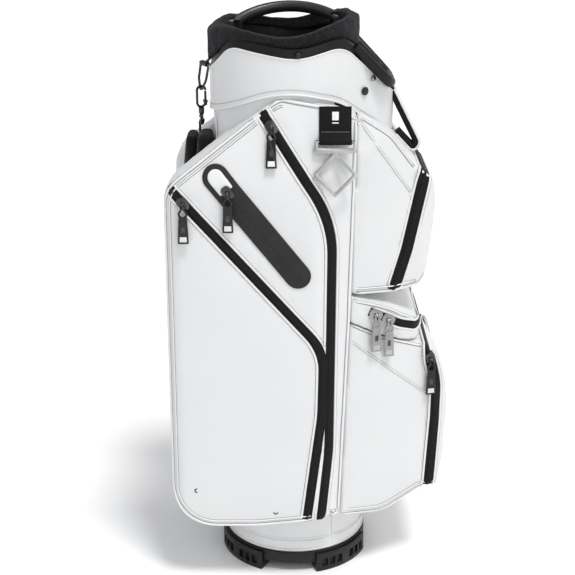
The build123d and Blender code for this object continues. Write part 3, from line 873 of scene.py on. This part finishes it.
def wrapped_zip(tag, tree, path, plan, half, node, push=(1.5, 1.5)):
    rows = snapped(tree, wrap_guide(path, plan, push), 5)
    tape = swept(tag + "_zip_tape", [rows], tape_profile(half), TAPE_CLOTH)
    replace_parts(tape, node)
    teeth(tag + "_zip_coil", [rows], 1.5)
    verts, faces = joined([sweep_data(rows, moved(welt_profile(), s * (half + WELT / 2 - 0.5)), taper=3)
                           for s in (-1, 1)])
    piece(tag + "_zip_lips", verts, faces, TRIM, "bag")
    painted_shade_on(tag + "_zip_grooves", [rows], (-(half + WELT - 0.2), half + WELT - 0.2))
    for s, word in ((-1, "a"), (1, "b")):
        stitches(f"{tag}_zip_stitches_{word}", [rows], WHITE_THREAD, shift=s * (half + WELT + 1.6))
    return tape


wrapped_zip("upper", upper_tree, rounded([(160.5, 506), (180, 572), (204, 688), (206.5, 698)], [100, 0]),
            UPPER_PLAN, 10.5, "upper_tape")
wrapped_zip("valuables", small_tree, rounded([(121, 477.5), (172, 452.5), (209, 442.3)], [60]), SMALL_PLAN, 7.0,
            "valuables_tape", (2.0, 0.5))
wrapped_zip("ball", ball_tree, rounded([(229.6, 149), (236, 270), (237, 335), (223, 391), (220.5, 400)],
                                       [250, 150, 0]), BALL_PLAN, 9.5, "ball_tape", (1.0, 1.5))


def both_sides(name, tree, path, radius):
    runs = [laid(tree, path, side) for side in (NEAR, FAR)]
    painted_shade_on(name + "_grooves", runs, (-radius - 0.3, radius + 0.3))
    cord_on(name, runs, radius, 0.5, TRIM)


def seam_on(name, tree, path):
    """A sewn seam: a thin raised fold with a row of stitches beside it, on both sides of the bag."""
    runs = [laid(tree, path, side) for side in (NEAR, FAR)]
    swept(name, runs, welt_profile(2.6, 0.9), TRIM, taper=2)
    painted_shade_on(name + "_grooves", runs, (-1.6, 1.6), 0.9)
    stitches(name + "_stitches", runs, WHITE_THREAD, shift=3.2)


PIPINGS = [
    ("upper_bottom_piping", upper_tree, [(93, 505.5), (160, 505.5), (202, 514), (211, 530)], [20, 10], 2.0),
    ("upper_bottom_piping_low", upper_tree, [(93, 513), (160, 513), (197, 520)], [20], 1.2),
    ("upper_top_piping", upper_tree, [(99, 789), (149, 759.5), (188, 708)], [40], 1.6),
    ("valuables_top_piping", small_tree, [(93, 498), (152, 479.5), (198, 454)], [60], 1.6),
    ("ball_top_piping", ball_tree, [(91, 455.5), (140, 429.5), (196, 411.5), (211, 407)], [60, 40], 1.9),
    ("ball_bottom_piping", ball_tree, [(80, 114.5), (150, 112.5), (214, 148.5), (220, 149.5)], [60, 20], 1.9),
    ("ball_bottom_piping_high", ball_tree, [(80, 123), (148, 121), (211, 156.5), (217, 157)], [60, 20], 1.2),
]
for name, tree, points, radii, radius in PIPINGS:
    both_sides(name, tree, rounded(points, radii), radius)
seam_on("upper_panel_seam", upper_tree, rounded([(101, 783), (184, 668)], []))
seam_on("ball_panel_seam", ball_tree, rounded([(89, 430), (224, 320)], []))
hem_path = rounded([(-30, 820.5), (0, 817), (62, 807.5), (94, 792.5)], [60, 60])
seam_path = resample([(96.5, 788), (90, 480), (76.5, 120)], 3.0) - np.array([2.5, 0])
for side, tree, word in ((NEAR, near_tree, "near"), (FAR, far_tree, "far")):
    hem_rows, seam_rows = laid(tree, hem_path, side), laid(tree, seam_path, side)
    cord_on(f"cuff_hem_over_pocket_{word}", [hem_rows], 2.6, 0.6, TRIM)
    painted_shade_on(f"cuff_hem_over_pocket_grooves_{word}", [hem_rows], (-2.9, 2.9))
    cord_on(f"long_seam_piping_{word}", [seam_rows], 3.2, -0.9, TRIM)
    painted_shade_on(f"long_seam_grooves_{word}", [seam_rows], (-3.6, 3.6), 1.3)


# ---- collar and tube -----------------------------------------------------------------------------

TOP_X, CUFF_R, NOSE_X, NOSE_R = -8.0, 127.5, 110.0, 50.0
FOOT_X, FOOT_R, TOP_R, FOOT_Z, TOP_Z = 3.0, 121.0, 124.0, 37.0, 838.0


def collar_ring(inset, count=360):
    """The collar's plan, evenly spaced, anticlockwise from its back."""
    big, small = CUFF_R - inset, NOSE_R - inset
    turn = math.acos((big - small) / (NOSE_X - TOP_X))
    pts = []
    for k in range(121):
        t = -math.pi + (math.pi - turn) * k / 120
        pts.append((TOP_X + big * math.cos(t), big * math.sin(t)))
    for k in range(61):
        t = -turn + 2 * turn * k / 60
        pts.append((NOSE_X + small * math.cos(t), small * math.sin(t)))
    for k in range(121):
        t = turn + (math.pi - turn) * k / 120
        pts.append((TOP_X + big * math.cos(t), big * math.sin(t)))
    return resample(pts[:-1], resample_step(pts, count), closed=True)


def resample_step(pts, count):
    run = sum(math.dist(a, b) for a, b in zip(pts, pts[1:]))
    return run / count


WAVE = rounded([(-150, 832), (-98, 896), (4, 879), (74, 897), (175, 797)], [25, 120, 35])
HEM = rounded([(-150, 780), (-19, 834), (70, 812), (178, 727)], [150, 90])


def height_at(path, x):
    order = np.argsort(path[:, 0])
    return float(np.interp(x, path[order, 0], path[order, 1]))


def ring_normal(ring, i):
    a, b = ring[i - 1], ring[(i + 1) % len(ring)]
    d = (b - a) / (np.linalg.norm(b - a) + 1e-9)
    return np.array([d[1], -d[0]])


def make_cuff():
    """The cuff: one thickened skin round the collar, from its hem up to its top edge."""
    ring = collar_ring(0.3)
    rows = 46
    verts = []
    for j in range(rows + 1):
        t = j / rows
        for i, (x, y) in enumerate(ring):
            low, high = height_at(HEM, x) + 1.0, height_at(WAVE, x) - 1.0
            z = low + (high - low) * t
            n = ring_normal(ring, i)
            p = Vector((x * 0.011, y * 0.011, z * 0.006))
            dent = noise.noise(p * 1.3) * 1.1 + noise.noise(p * 3.1) * 0.5
            fade = min(1.0, t * 5, (1 - t) * 6)
            dent = (dent - 0.7) * fade
            verts.append(place(x + n[0] * dent, y + n[1] * dent, z))
    cuff = piece("cuff_skin", verts, quads(rows, len(ring)), WHITE, "bag")
    mod = cuff.modifiers.new("thick", "SOLIDIFY")
    mod.thickness = 0.0024
    mod.offset = -1
    baked(cuff)
    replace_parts(cuff, "cuff")
    return cuff


def ring_rows(inset, height, count=360, shift=0.0):
    """Rows round the collar at a height given by a path in X and Z, moved by shift."""
    ring = collar_ring(inset, count)
    rows = []
    for i, (x, y) in enumerate(ring):
        n = ring_normal(ring, i)
        rows.append((place(x, y, height_at(height, x) + shift), Vector((n[0], n[1], 0))))
    return rows


def closed_cord(name, rows, radius, lift, material):
    verts, faces = sweep_data(rows, circle(radius, lift), closed_path=True)
    return piece(name, verts, faces, material, "bag")


def tube_at(z):
    """Centre in X and radius of the tube at a height."""
    t = (z - FOOT_Z) / (TOP_Z - FOOT_Z)
    return FOOT_X + (TOP_X - FOOT_X) * t, FOOT_R + (TOP_R - FOOT_R) * t


def tube_row(z, angle):
    """A spot on the tube, angle in radians, and its normal."""
    cx, r = tube_at(z)
    out = Vector((math.cos(angle), math.sin(angle), 0))
    return place(cx + r * math.cos(angle), r * math.sin(angle), z), out


def make_tube():
    """The body tube's skin: a slightly slack cylinder, with soft folds near its top."""
    count, rows = 240, 110
    verts = []
    for j in range(rows + 1):
        t = j / rows
        z = FOOT_Z + 0.5 + (TOP_Z - 2 - FOOT_Z) * t
        cx, r = FOOT_X + (TOP_X - FOOT_X) * t, FOOT_R + (TOP_R - FOOT_R) * t
        for i in range(count):
            a = 2 * math.pi * i / count
            p = Vector((math.cos(a) * 1.4, math.sin(a) * 1.4, z * 0.006))
            slack = noise.noise(p) * 1.0 + noise.noise(Vector((p.x * 3, p.y * 3, z * 0.004))) * 0.8 - 0.9
            fold = 0.0
            if z > 690:
                q = Vector((math.cos(a) * 5 + z * 0.011, math.sin(a) * 5, z * 0.009 + 4))
                fold = noise.noise(q) * 1.6 * min(1, (z - 690) / 40)
            rr = r + min(slack + fold, 0.4) * min(1, j / 6)
            verts.append(place(cx + rr * math.cos(a), rr * math.sin(a), z))
    # Nothing of the tube stands in front of the mouth, where the collar's nose takes its place.
    kept = []
    for f in quads(rows, count):
        c = [verts[i] for i in f]
        x = sum(v.x for v in c) / 4 / MM - AXIS_X
        z = sum(v.z for v in c) / 4 / MM
        if not (x > 62 and z > 765):
            kept.append(f)
    tube = piece("tube_skin", verts, kept, WHITE, "bag")
    bm = bmesh.new()
    bm.from_mesh(tube.data)
    loose = [v for v in bm.verts if not v.link_faces]
    bmesh.ops.delete(bm, geom=loose, context="VERTS")
    bm.to_mesh(tube.data)
    bm.free()
    mod = tube.modifiers.new("thick", "SOLIDIFY")
    mod.thickness = 0.0018
    mod.offset = -1
    baked(tube)
    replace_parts(tube, "body_tube")
    return tube


def tube_rows(z):
    return [tube_row(z, 2 * math.pi * i / 200) for i in range(200)]


def tube_line(angle, z0, z1, count=120):
    return [tube_row(z0 + (z1 - z0) * k / (count - 1), math.radians(angle)) for k in range(count)]


cuff = make_cuff()
tube = make_tube()
swept("cuff_hem_fold", [ring_rows(0.2, HEM, 420, 1.6) + ring_rows(0.2, HEM, 420, 1.6)[:1]],
      [(-1.6, -0.6), (-1.5, 0.3), (0, 0.8), (1.5, 0.3), (1.6, -0.6)], TRIM)
# The cuff hem's stitches take the same dark grey as the painted seam shade.
stitches("cuff_hem_stitches", [ring_rows(0.1, HEM, 420, 9.0)], SHADE_AND_STITCH_GREY, pitch=4.4, length=2.9, width=1.1,
         lift=0.5)
closed_cord("cuff_top_piping", ring_rows(0.8, WAVE, 420, -0.4), 1.3, 0.3, TRIM)
for side in (-1, 1):
    hits = snapped(tree_of(cuff), [(-129, side * 42, z) for z in np.arange(793, 862, 3.0)])
    cord_on(f"cuff_back_seam_{'near' if side < 0 else 'far'}", [hits], 1.5, 0.4, TRIM)
closed_cord("tube_hem_piping", tube_rows(41), 1.6, 0.3, TRIM)
verts, faces = sweep_data(tube_rows(57), welt_profile(2.2, 0.7), closed_path=True)
piece("tube_hem_seam", verts, faces, TRIM, "bag")
stitches("tube_hem_stitches", [tube_rows(62)], WHITE_THREAD, lift=0.1)
for angle in (-58, 58):
    cord_on(f"tube_seam_{'near' if angle < 0 else 'far'}", [tube_line(angle, 44, 200, 40)], 1.4, 0.3, TRIM)
cord_on("tube_spine_seams", [tube_line(a, 44, 785) for a in (160, 200)], 1.4, 0.3, TRIM)


# ---- padded ring, pads and straps ------------------------------------------------------------------

def padded_copy(node, tag, material, voxel, pressure, cap, swell=0.0, ripple=0.0, scale=40):
    obj = remeshed(node_mesh(node), tag + "_work", voxel, 3)
    co = coords(obj.data)
    pinned = np.zeros(len(co), bool)
    if swell or ripple:
        normals = np.array([v.normal for v in obj.data.vertices])
        for i in range(len(co)):
            rise = swell + ripple * noise.noise(Vector(co[i]) * scale)
            co[i] += normals[i] * (rise * MM)
        set_coords(obj.data, co)
    if pressure:
        inflate(obj, pinned, pressure, cap)
    refine(obj)
    mesh = taken(obj)
    out = piece_from(tag, mesh, material, "bag")
    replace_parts(out, node)
    return out


fleece_ring = padded_copy("ring_padding", "fleece_ring", FLEECE, 0.0032, 0, 0, swell=0.6, ripple=1.3,
                          scale=55)
strap_pad = padded_copy("strap_pad", "strap_pad_soft", PAD_CLOTH, 0.0034, 2.2, 4.0, swell=-0.8,
                        ripple=0.6, scale=30)
back_pad = padded_copy("back_pad", "back_pad_soft", PAD_CLOTH, 0.004, 2.0, 4.0, swell=-1.0,
                       ripple=0.6, scale=25)


def directions(path):
    """The unit direction at each point of a 2-D path."""
    d = np.gradient(path, axis=0)
    return d / np.linalg.norm(d, axis=1, keepdims=True)


def strap_rows(path, y):
    """Rows along a path in X and Z at one Y, for a band that lies across it."""
    path = resample(path, 2.0)
    return [(place(x, y, z), Vector((-dz, 0, dx))) for (x, z), (dx, dz) in zip(path, directions(path))]


def webbing_profile(w, h, edge):
    """The section of flat webbing: half width, half thickness and the width of its rounded edge."""
    return [(-w, -h * 0.5), (-w, h * 0.5), (-w + edge, h), (w - edge, h), (w, h * 0.5), (w, -h * 0.5),
            (w - edge, -h), (-w + edge, -h)]


def flat_strap(name, path, y0, y1, thick, material):
    """A webbing strap: a band of even thickness along a path in X and Z, its edges rounded."""
    rows = strap_rows(path, (y0 + y1) / 2)
    verts, faces = sweep_data(rows, webbing_profile((y1 - y0) / 2, thick / 2, 0.8))
    return piece(name, verts, faces, material, "bag")


# Lifting loop: padded black band inside, white leather outside, both edges bound.
LOOP = rounded([(159, 816), (203, 730), (194, 714), (166, 744)], [10, 7], 2.0)


def band(name, path, inner, outer, half, material, crown=0.0):
    """Between two depths of a ribbon's thickness, across its width."""
    rows = strap_rows(path, 0)
    mid = (inner + outer) / 2
    profile = [(-half, mid), (-half * 0.94, outer), (-half * 0.5, outer + crown), (0, outer + crown * 1.3),
               (half * 0.5, outer + crown), (half * 0.94, outer), (half, mid), (half * 0.94, inner), (0, inner),
               (-half * 0.94, inner)]
    verts, faces = sweep_data(rows, profile)
    return piece(name, verts, faces, material, "bag"), rows


loop_white, loop_rows = band("lift_loop_white", LOOP, 1.2, 3.6, 15.6, WHITE, 0.5)
loop_black, _ = band("lift_loop_lining", LOOP, 1.0, -8.0, 14.8, PAD_CLOTH, -0.9)
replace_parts(loop_white, "lift_loop")
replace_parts(loop_black, "lift_loop")
for s, word in ((-1, "near"), (1, "far")):
    verts, faces = sweep_data(loop_rows, [(u + s * 15.0, v + 1.0) for u, v in circle(1.5, 0.0)])
    piece(f"lift_loop_binding_{word}", verts, faces, TRIM, "bag")
    stitches(f"lift_loop_stitches_{word}", [[(p + n * 0.0042, n) for p, n in loop_rows]], WHITE_THREAD,
             shift=s * 11.5, lift=-0.15)

# Shoulder strap: anchor, short top webbing, lower webbing, foot patch.
web_path = rounded([(-168, 424), (-168, 380), (-130, 300), (-126, 250)], [30, 30], 2.0)
web = flat_strap("strap_webbing_woven", web_path, 20, 58, 2.4, WEBBING)
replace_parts(web, "strap_webbing")
for node, tag, material, slot, voxel in (
        ("strap_foot_patch", "strap_foot_patch_soft", BLACK_LEATHER, "black_webbing", 0.0022),
        ("strap_top_webbing", "strap_top_webbing_soft", WEBBING, "black_webbing", 0.0011),
        ("strap_anchor", "strap_anchor_soft", BLACK_LEATHER, "black_webbing", 0.0011)):
    obj = remeshed(node_mesh(node), tag + "_work", voxel, 2)
    mesh = taken(obj)
    soft = piece_from(tag, mesh, material, "bag")
    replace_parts(soft, node)

# Well dividers hang as lined walls from the divider top.
sleeves_mesh = node_mesh("divider_sleeves")
sleeves = piece_from("divider_sleeves_lined", sleeves_mesh, LINING, "bag", smooth=False)
sub = sleeves.modifiers.new("sub", "SUBSURF")
sub.subdivision_type = "SIMPLE"
sub.levels = 4
baked(sleeves)
co = coords(sleeves.data)
for i in range(len(co)):
    p = Vector(co[i])
    drop = max(0.0, min(1.0, (0.84 - p.z) / 0.1))
    co[i, 0] += noise.noise(Vector((p.x * 9, p.y * 9, p.z * 5))) * 0.0014 * drop
    co[i, 1] += noise.noise(Vector((p.x * 9 + 7, p.y * 9, p.z * 5))) * 0.0014 * drop
set_coords(sleeves.data, co)
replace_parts(sleeves, "divider_sleeves")


# ---- welded zip, webbing tab ---------------------------------------------------------------------

PATCH_HALF = 20.5


def stadium(inset):
    """The outline of the stadium between two ends, anticlockwise."""
    (x0, z0), (x1, z1) = PATCH_ENDS
    t = math.atan2(z1 - z0, x1 - x0)
    r = PATCH_HALF - inset
    pts = []
    for cx, cz, base in ((x0, z0, t + math.pi / 2), (x1, z1, t - math.pi / 2)):
        for k in range(13):
            a = base + math.pi * k / 12
            pts.append((cx + r * math.cos(a), cz + r * math.sin(a)))
    return resample(pts, 2.0, closed=True)


def plate_on(name, tree, rings, material):
    """A shallow plate laid on a surface: rings of outline and lift, from the outside in, then a cap."""
    verts = []
    count = len(rings[0][0])
    for ring, lift in rings:
        for x, z in ring:
            hit, normal, _, _ = tree.ray_cast(place(x, NEAR * 400, z), Vector((0, -NEAR, 0)))
            verts.append(hit + normal * (lift * MM))
    faces = quads(len(rings) - 1, count)
    faces.append(tuple((len(rings) - 1) * count + i for i in range(count)))
    return piece(name, verts, faces, material, "bag")


def same_count(path, count):
    path = np.vstack([path, path[:1]])
    return resample(path, np.sum(np.linalg.norm(np.diff(path, axis=0), axis=1)) / count)[:count]


outer = [same_count(stadium(i), 220) for i in (0.2, 0.4, 2.2, 8.5, 10.0, 16.0)]
patch = plate_on("welded_patch", near_tree,
                 [(outer[0], -0.6), (outer[0], 1.5), (outer[1], 1.9), (outer[2], 2.1), (outer[3], 2.1),
                  (outer[4], 2.5), (outer[5], 3.0)], PATCH)
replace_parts(patch, "welded_zip_patch")
(px0, pz0), (px1, pz1) = PATCH_ENDS
plen = math.dist(PATCH_ENDS[0], PATCH_ENDS[1])
pdx, pdz = (px1 - px0) / plen, (pz1 - pz0) / plen


def on_patch(run, across):
    """A spot on the patch: run along it from its upper end, across to its left when looking down it."""
    return (px0 + pdx * run + pdz * across, pz0 + pdz * run - pdx * across)


# The slit down the middle, and the white garage that the slider parks in.
slit = laid(near_tree, [on_patch(r, 0) for r in np.arange(24, plen + 9, 2.5)], NEAR)
slit_profile = [(-2.6, 2.6), (-2.4, 3.3), (-0.5, 3.6), (0, 3.0), (0.5, 3.6), (2.4, 3.3), (2.6, 2.6)]
swept("welded_patch_slit", [slit], slit_profile, PATCH)
garage = []
for k in range(25):
    a = math.pi / 2 + math.pi * k / 24
    garage.append(on_patch(math.cos(a) * 12.0, math.sin(a) * 12.0))
garage += [on_patch(r, -12.0) for r in np.arange(3, 27, 3)]
garage += [on_patch(27, s) for s in np.arange(-11, 12, 3)]
garage += [on_patch(r, 12.0) for r in np.arange(26, 0, -3)]
garage = same_count(np.array(garage), 120)
mid = garage.mean(axis=0)


def toward(ring, centre, k):
    return ring + (centre - ring) * k


plate_on("patch_garage", near_tree, [(garage, 2.2), (garage, 3.2), (toward(garage, mid, 0.05), 3.7),
                                     (toward(garage, mid, 0.4), 4.0), (toward(garage, mid, 0.8), 4.1)],
         TRIM)

# Webbing tab: two plies folded round the towel ring's bar.
TAB_X = 62.0


def leaned(z, lift):
    """Y of the near pocket's leaning face, lifted off it."""
    base = -SIDE_Y + max(0.0, z - 700) * LEAN
    return base - lift * math.hypot(1, LEAN)


def make_tab():
    top = [(leaned(z, 2.2), z) for z in np.arange(812, 772, -2.0)]
    around = []
    cy, cz = -153.5, 762.0
    for k in range(15):
        a = math.radians(95 + 190 * k / 14)
        around.append((cy + 4.2 * math.cos(a), cz + 4.2 * math.sin(a)))
    under = [(leaned(z, 0.9), z) for z in np.arange(768, 774, 2.0)]
    path = resample(top + around + under, 1.6)
    rows = [(place(TAB_X, y, z), Vector((0, dz, -dy))) for (y, z), (dy, dz) in zip(path, directions(path))]
    verts, faces = sweep_data(rows, webbing_profile(24.6, 0.9, 0.7))
    return piece("towel_tab_woven", verts, faces, WEBBING, "bag")


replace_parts(make_tab(), "towel_tab")


def tab_row(z, x0, x1, lift=3.3):
    out = Vector((0, -1, LEAN)).normalized()
    return [(place(x, leaned(z, lift), z), out) for x in np.arange(x0, x1 + 0.1, 2.0)]


stitches("towel_tab_stitches", [tab_row(771, 42, 82), tab_row(775, 42, 82)], THREAD, pitch=3.2,
         length=2.2, width=0.7, lift=-0.25)
# A small plain mark: a white rounded bar with a pin stripe under it.
bar = [(-6.5, 0), (-6.5, 0.3), (-5.5, 0.5), (5.5, 0.5), (6.5, 0.3), (6.5, 0)]
swept("towel_tab_mark", [tab_row(798, 57, 67, 3.1)], bar, WHITE_THREAD)
swept("towel_tab_mark_line", [tab_row(788, 57, 67, 3.1)], [(-1.0, 0), (-0.8, 0.4), (0.8, 0.4), (1.0, 0)],
      WHITE_THREAD)


# ---- hard parts ------------------------------------------------------------------------------------

HARD = [
    ("base_ring", MOULDED, "moulded_black", 0.0008), ("base_feet", MOULDED, "moulded_black", 0.0007),
    ("top_ring", CHARCOAL, "moulded_charcoal", 0.0006), ("top_handle", GRIP, "moulded_charcoal", 0.0006),
    ("front_handle", CHARCOAL, "moulded_charcoal", 0.0006), ("cuff_studs", GUNMETAL, "gunmetal", 0.0006),
    ("drain_eyelets", GUNMETAL, "gunmetal", 0.0003), ("towel_ring", SATIN, "satin_metal", 0.0007),
    ("strap_d_ring", GUNMETAL, "gunmetal", 0.0002), ("snap_hook", GUNMETAL, "gunmetal", 0.0002),
    ("snap_gate", GUNMETAL, "gunmetal", 0.0003), ("swivel_eye", GUNMETAL, "gunmetal", 0.0003),
    ("strap_buckle", MOULDED, "moulded_black", 0.0006), ("stay_rods", FIBRE, "fibre_rod", 0.0003),
    ("divider_rim", FLEECE, "fleece", 0.0008), ("divider_bars", FLEECE, "fleece", 0.0008),
]
for node, material, slot, width in HARD:
    beveled(node, node + "_finished", material, width)

# Painted shade on the towel ring: its rounded sides, turned away from the camera, take the darker gunmetal for
# the dark reflections at its edges, while faces turned to the camera keep the brushed satin metal.
ring = bpy.data.objects["towel_ring_finished"]
ring.data.materials.append(GUNMETAL)
toward_camera = Vector((0, -math.cos(math.radians(10)), math.sin(math.radians(10))))
for poly in ring.data.polygons:
    poly.material_index = 0 if poly.normal.dot(toward_camera) > 0.9 else 1

# The snap on the cuff and the studs on the band are black, the rivet is bright. All of them are
# lifted clear of the cuff's slack skin.
STUD_LIFT = 1.1
studs = bpy.data.objects["cuff_studs_finished"]
studs.data.materials.append(SILVER)
studs.data.materials.append(GLOSS)
co = coords(studs.data)
xyz = drawn(co)
turn = math.acos((CUFF_R - NOSE_R) / (NOSE_X - TOP_X))
for i, (x, y, z) in enumerate(xyz):
    side = math.copysign(1, y)
    out = (math.cos(turn), side * math.sin(turn), 0) if x > 90 else (0, side, 0)
    co[i] += np.array(out) * STUD_LIFT * MM
for poly in studs.data.polygons:
    x, y, z = xyz[poly.vertices[0]]
    poly.material_index = 1 if 833 < z < 860 else 2
set_coords(studs.data, co)

ZIPS = ["near_main", "far_main", "near_diagonal", "far_diagonal", "patch", "upper", "valuables_rear",
        "valuables_front", "ball"]
SPOTS = {
    "near_main": ((-65.12, -140.02, 780.83), (0, -1, LEAN)),
    "near_diagonal": ((-200.68, -161.4, 667.66), (0, -1, 0)),
    "patch": ((-131.92, -162.0, 685.33), (0, -1, 0)),
    "upper": ((170.7, 90.36, 670.37), (0.2477, 0.9688, 0)),
    "valuables_rear": ((101.12, -120.24, 472.72), (0.2468, -0.9691, 0)),
    "valuables_front": ((121.77, -114.98, 462.59), (0.2468, -0.9691, 0)),
    "ball": ((194.8, -92.9, 385.18), (0.2492, -0.9685, 0)),
}


def puller_axes(name):
    """Origin, across, up and out of a puller's own frame, in metres."""
    source = name.replace("far", "near")
    spot, normal = SPOTS[source]
    spot, normal = Vector(spot) * MM, Vector(normal).normalized()
    if name.startswith("far"):
        spot.y, normal.y = -spot.y, -normal.y
    across = Vector((0, 0, 1)).cross(normal).normalized()
    return spot, across, normal.cross(across), normal


def inset_plate(name, body, corners, low, high, material, slot):
    """A thin raised plate on a pull tab, drawn in the puller's own frame."""
    spot, across, up, out = puller_axes(name)
    verts = []
    for level, shrink in ((low, 1.0), (high - 0.15, 1.0), (high, 0.9)):
        cx = sum(c[0] for c in corners) / len(corners)
        cy = sum(c[1] for c in corners) / len(corners)
        for x, y in corners:
            x, y = cx + (x - cx) * shrink, cy + (y - cy) * shrink
            verts.append(spot + (across * x + up * y + out * level) * MM)
    n = len(corners)
    faces = [tuple(range(n)), tuple(range(2 * n, 3 * n))]
    for j in range(2):
        for i in range(n):
            k = (i + 1) % n
            faces.append((j * n + i, j * n + k, (j + 1) * n + k, (j + 1) * n + i))
    return piece(name + "_" + slot + "_inset", verts, faces, material, body, smooth=False)


for name in ZIPS:
    silver = name.startswith("valuables")
    beveled(name + "_slider", name + "_slider_finished", SILVER if silver else GUNMETAL, 0.0005)
    beveled(name + "_puller", name + "_puller_finished", SILVER if silver else GLOSS, 0.0004)
    body = name + "_puller"
    inset_plate(name, body, [(-5.2, -51), (5.2, -51), (5.6, -59), (-5.6, -59)], 9.2, 9.75,
                WHITE_INSERT if not silver else SATIN, "white_leather" if not silver else "satin_metal")
    inset_plate(name, body, [(-2.6, -34), (2.6, -34), (2.9, -44), (-2.9, -44)], 9.2, 9.5, GUNMETAL, "gunmetal")


# ---- floor, camera, light ----------------------------------------------------------------------------

def make_floor():
    mesh = bpy.data.meshes.new("floor")
    bm = bmesh.new()
    bmesh.ops.create_grid(bm, x_segments=8, y_segments=8, size=14)
    bm.to_mesh(mesh)
    bm.free()
    mesh.materials.append(floor_finish())
    obj = linked("floor", mesh)
    obj.location = (0, 0, -0.0005)


def make_camera():
    data = bpy.data.cameras.new("camera")
    data.lens = 81.39
    data.sensor_width = 36.0
    obj = linked("camera", data)
    obj.location = (-0.0405, -2.08, 1.20)
    obj.rotation_euler = (math.radians(70.8), 0, 0)
    bpy.context.scene.camera = obj


def area(name, location, target, size, watts):
    data = bpy.data.lights.new(name, "AREA")
    data.shape = "RECTANGLE"
    data.size, data.size_y = size
    data.energy = watts
    obj = linked(name, data)
    obj.location = location
    obj.rotation_euler = (Vector(target) - Vector(location)).to_track_quat("-Z", "Y").to_euler()


def sun(name, toward_light, strength, spread):
    data = bpy.data.lights.new(name, "SUN")
    data.energy = strength
    data.angle = math.radians(spread)
    linked(name, data).rotation_euler = Vector(toward_light).to_track_quat("Z", "Y").to_euler()


def make_world(strength):
    world = bpy.data.worlds.new("world")
    world.use_nodes = True
    nodes, links = world.node_tree.nodes, world.node_tree.links
    node = nodes["Background"]
    node.inputs["Strength"].default_value = strength
    split = nodes.new("ShaderNodeSeparateXYZ")
    links.new(nodes.new("ShaderNodeTexCoord").outputs["Generated"], split.inputs[0])
    ramp = nodes.new("ShaderNodeValToRGB")
    ramp.color_ramp.elements[0].position = 0.2
    ramp.color_ramp.elements[1].position = 0.75
    ramp.color_ramp.elements[0].color = (0.60, 0.61, 0.63, 1)
    ramp.color_ramp.elements[1].color = (1, 1, 1, 1)
    shift = nodes.new("ShaderNodeMath")
    shift.operation = "MULTIPLY_ADD"
    shift.inputs[1].default_value = 0.5
    shift.inputs[2].default_value = 0.5
    links.new(split.outputs["X"], shift.inputs[0])
    links.new(shift.outputs[0], ramp.inputs["Fac"])
    links.new(ramp.outputs["Color"], node.inputs["Color"])
    bpy.context.scene.world = world


make_floor()
make_camera()
make_world(0.80)
sun("key", (0.30, -0.50, 1.3), 1.9, 14)
area("front", (0.9, -2.4, 1.5), (0, 0, 0.55), (1.4, 1.6), 7)
bpy.context.scene.view_settings.view_transform = "Standard"
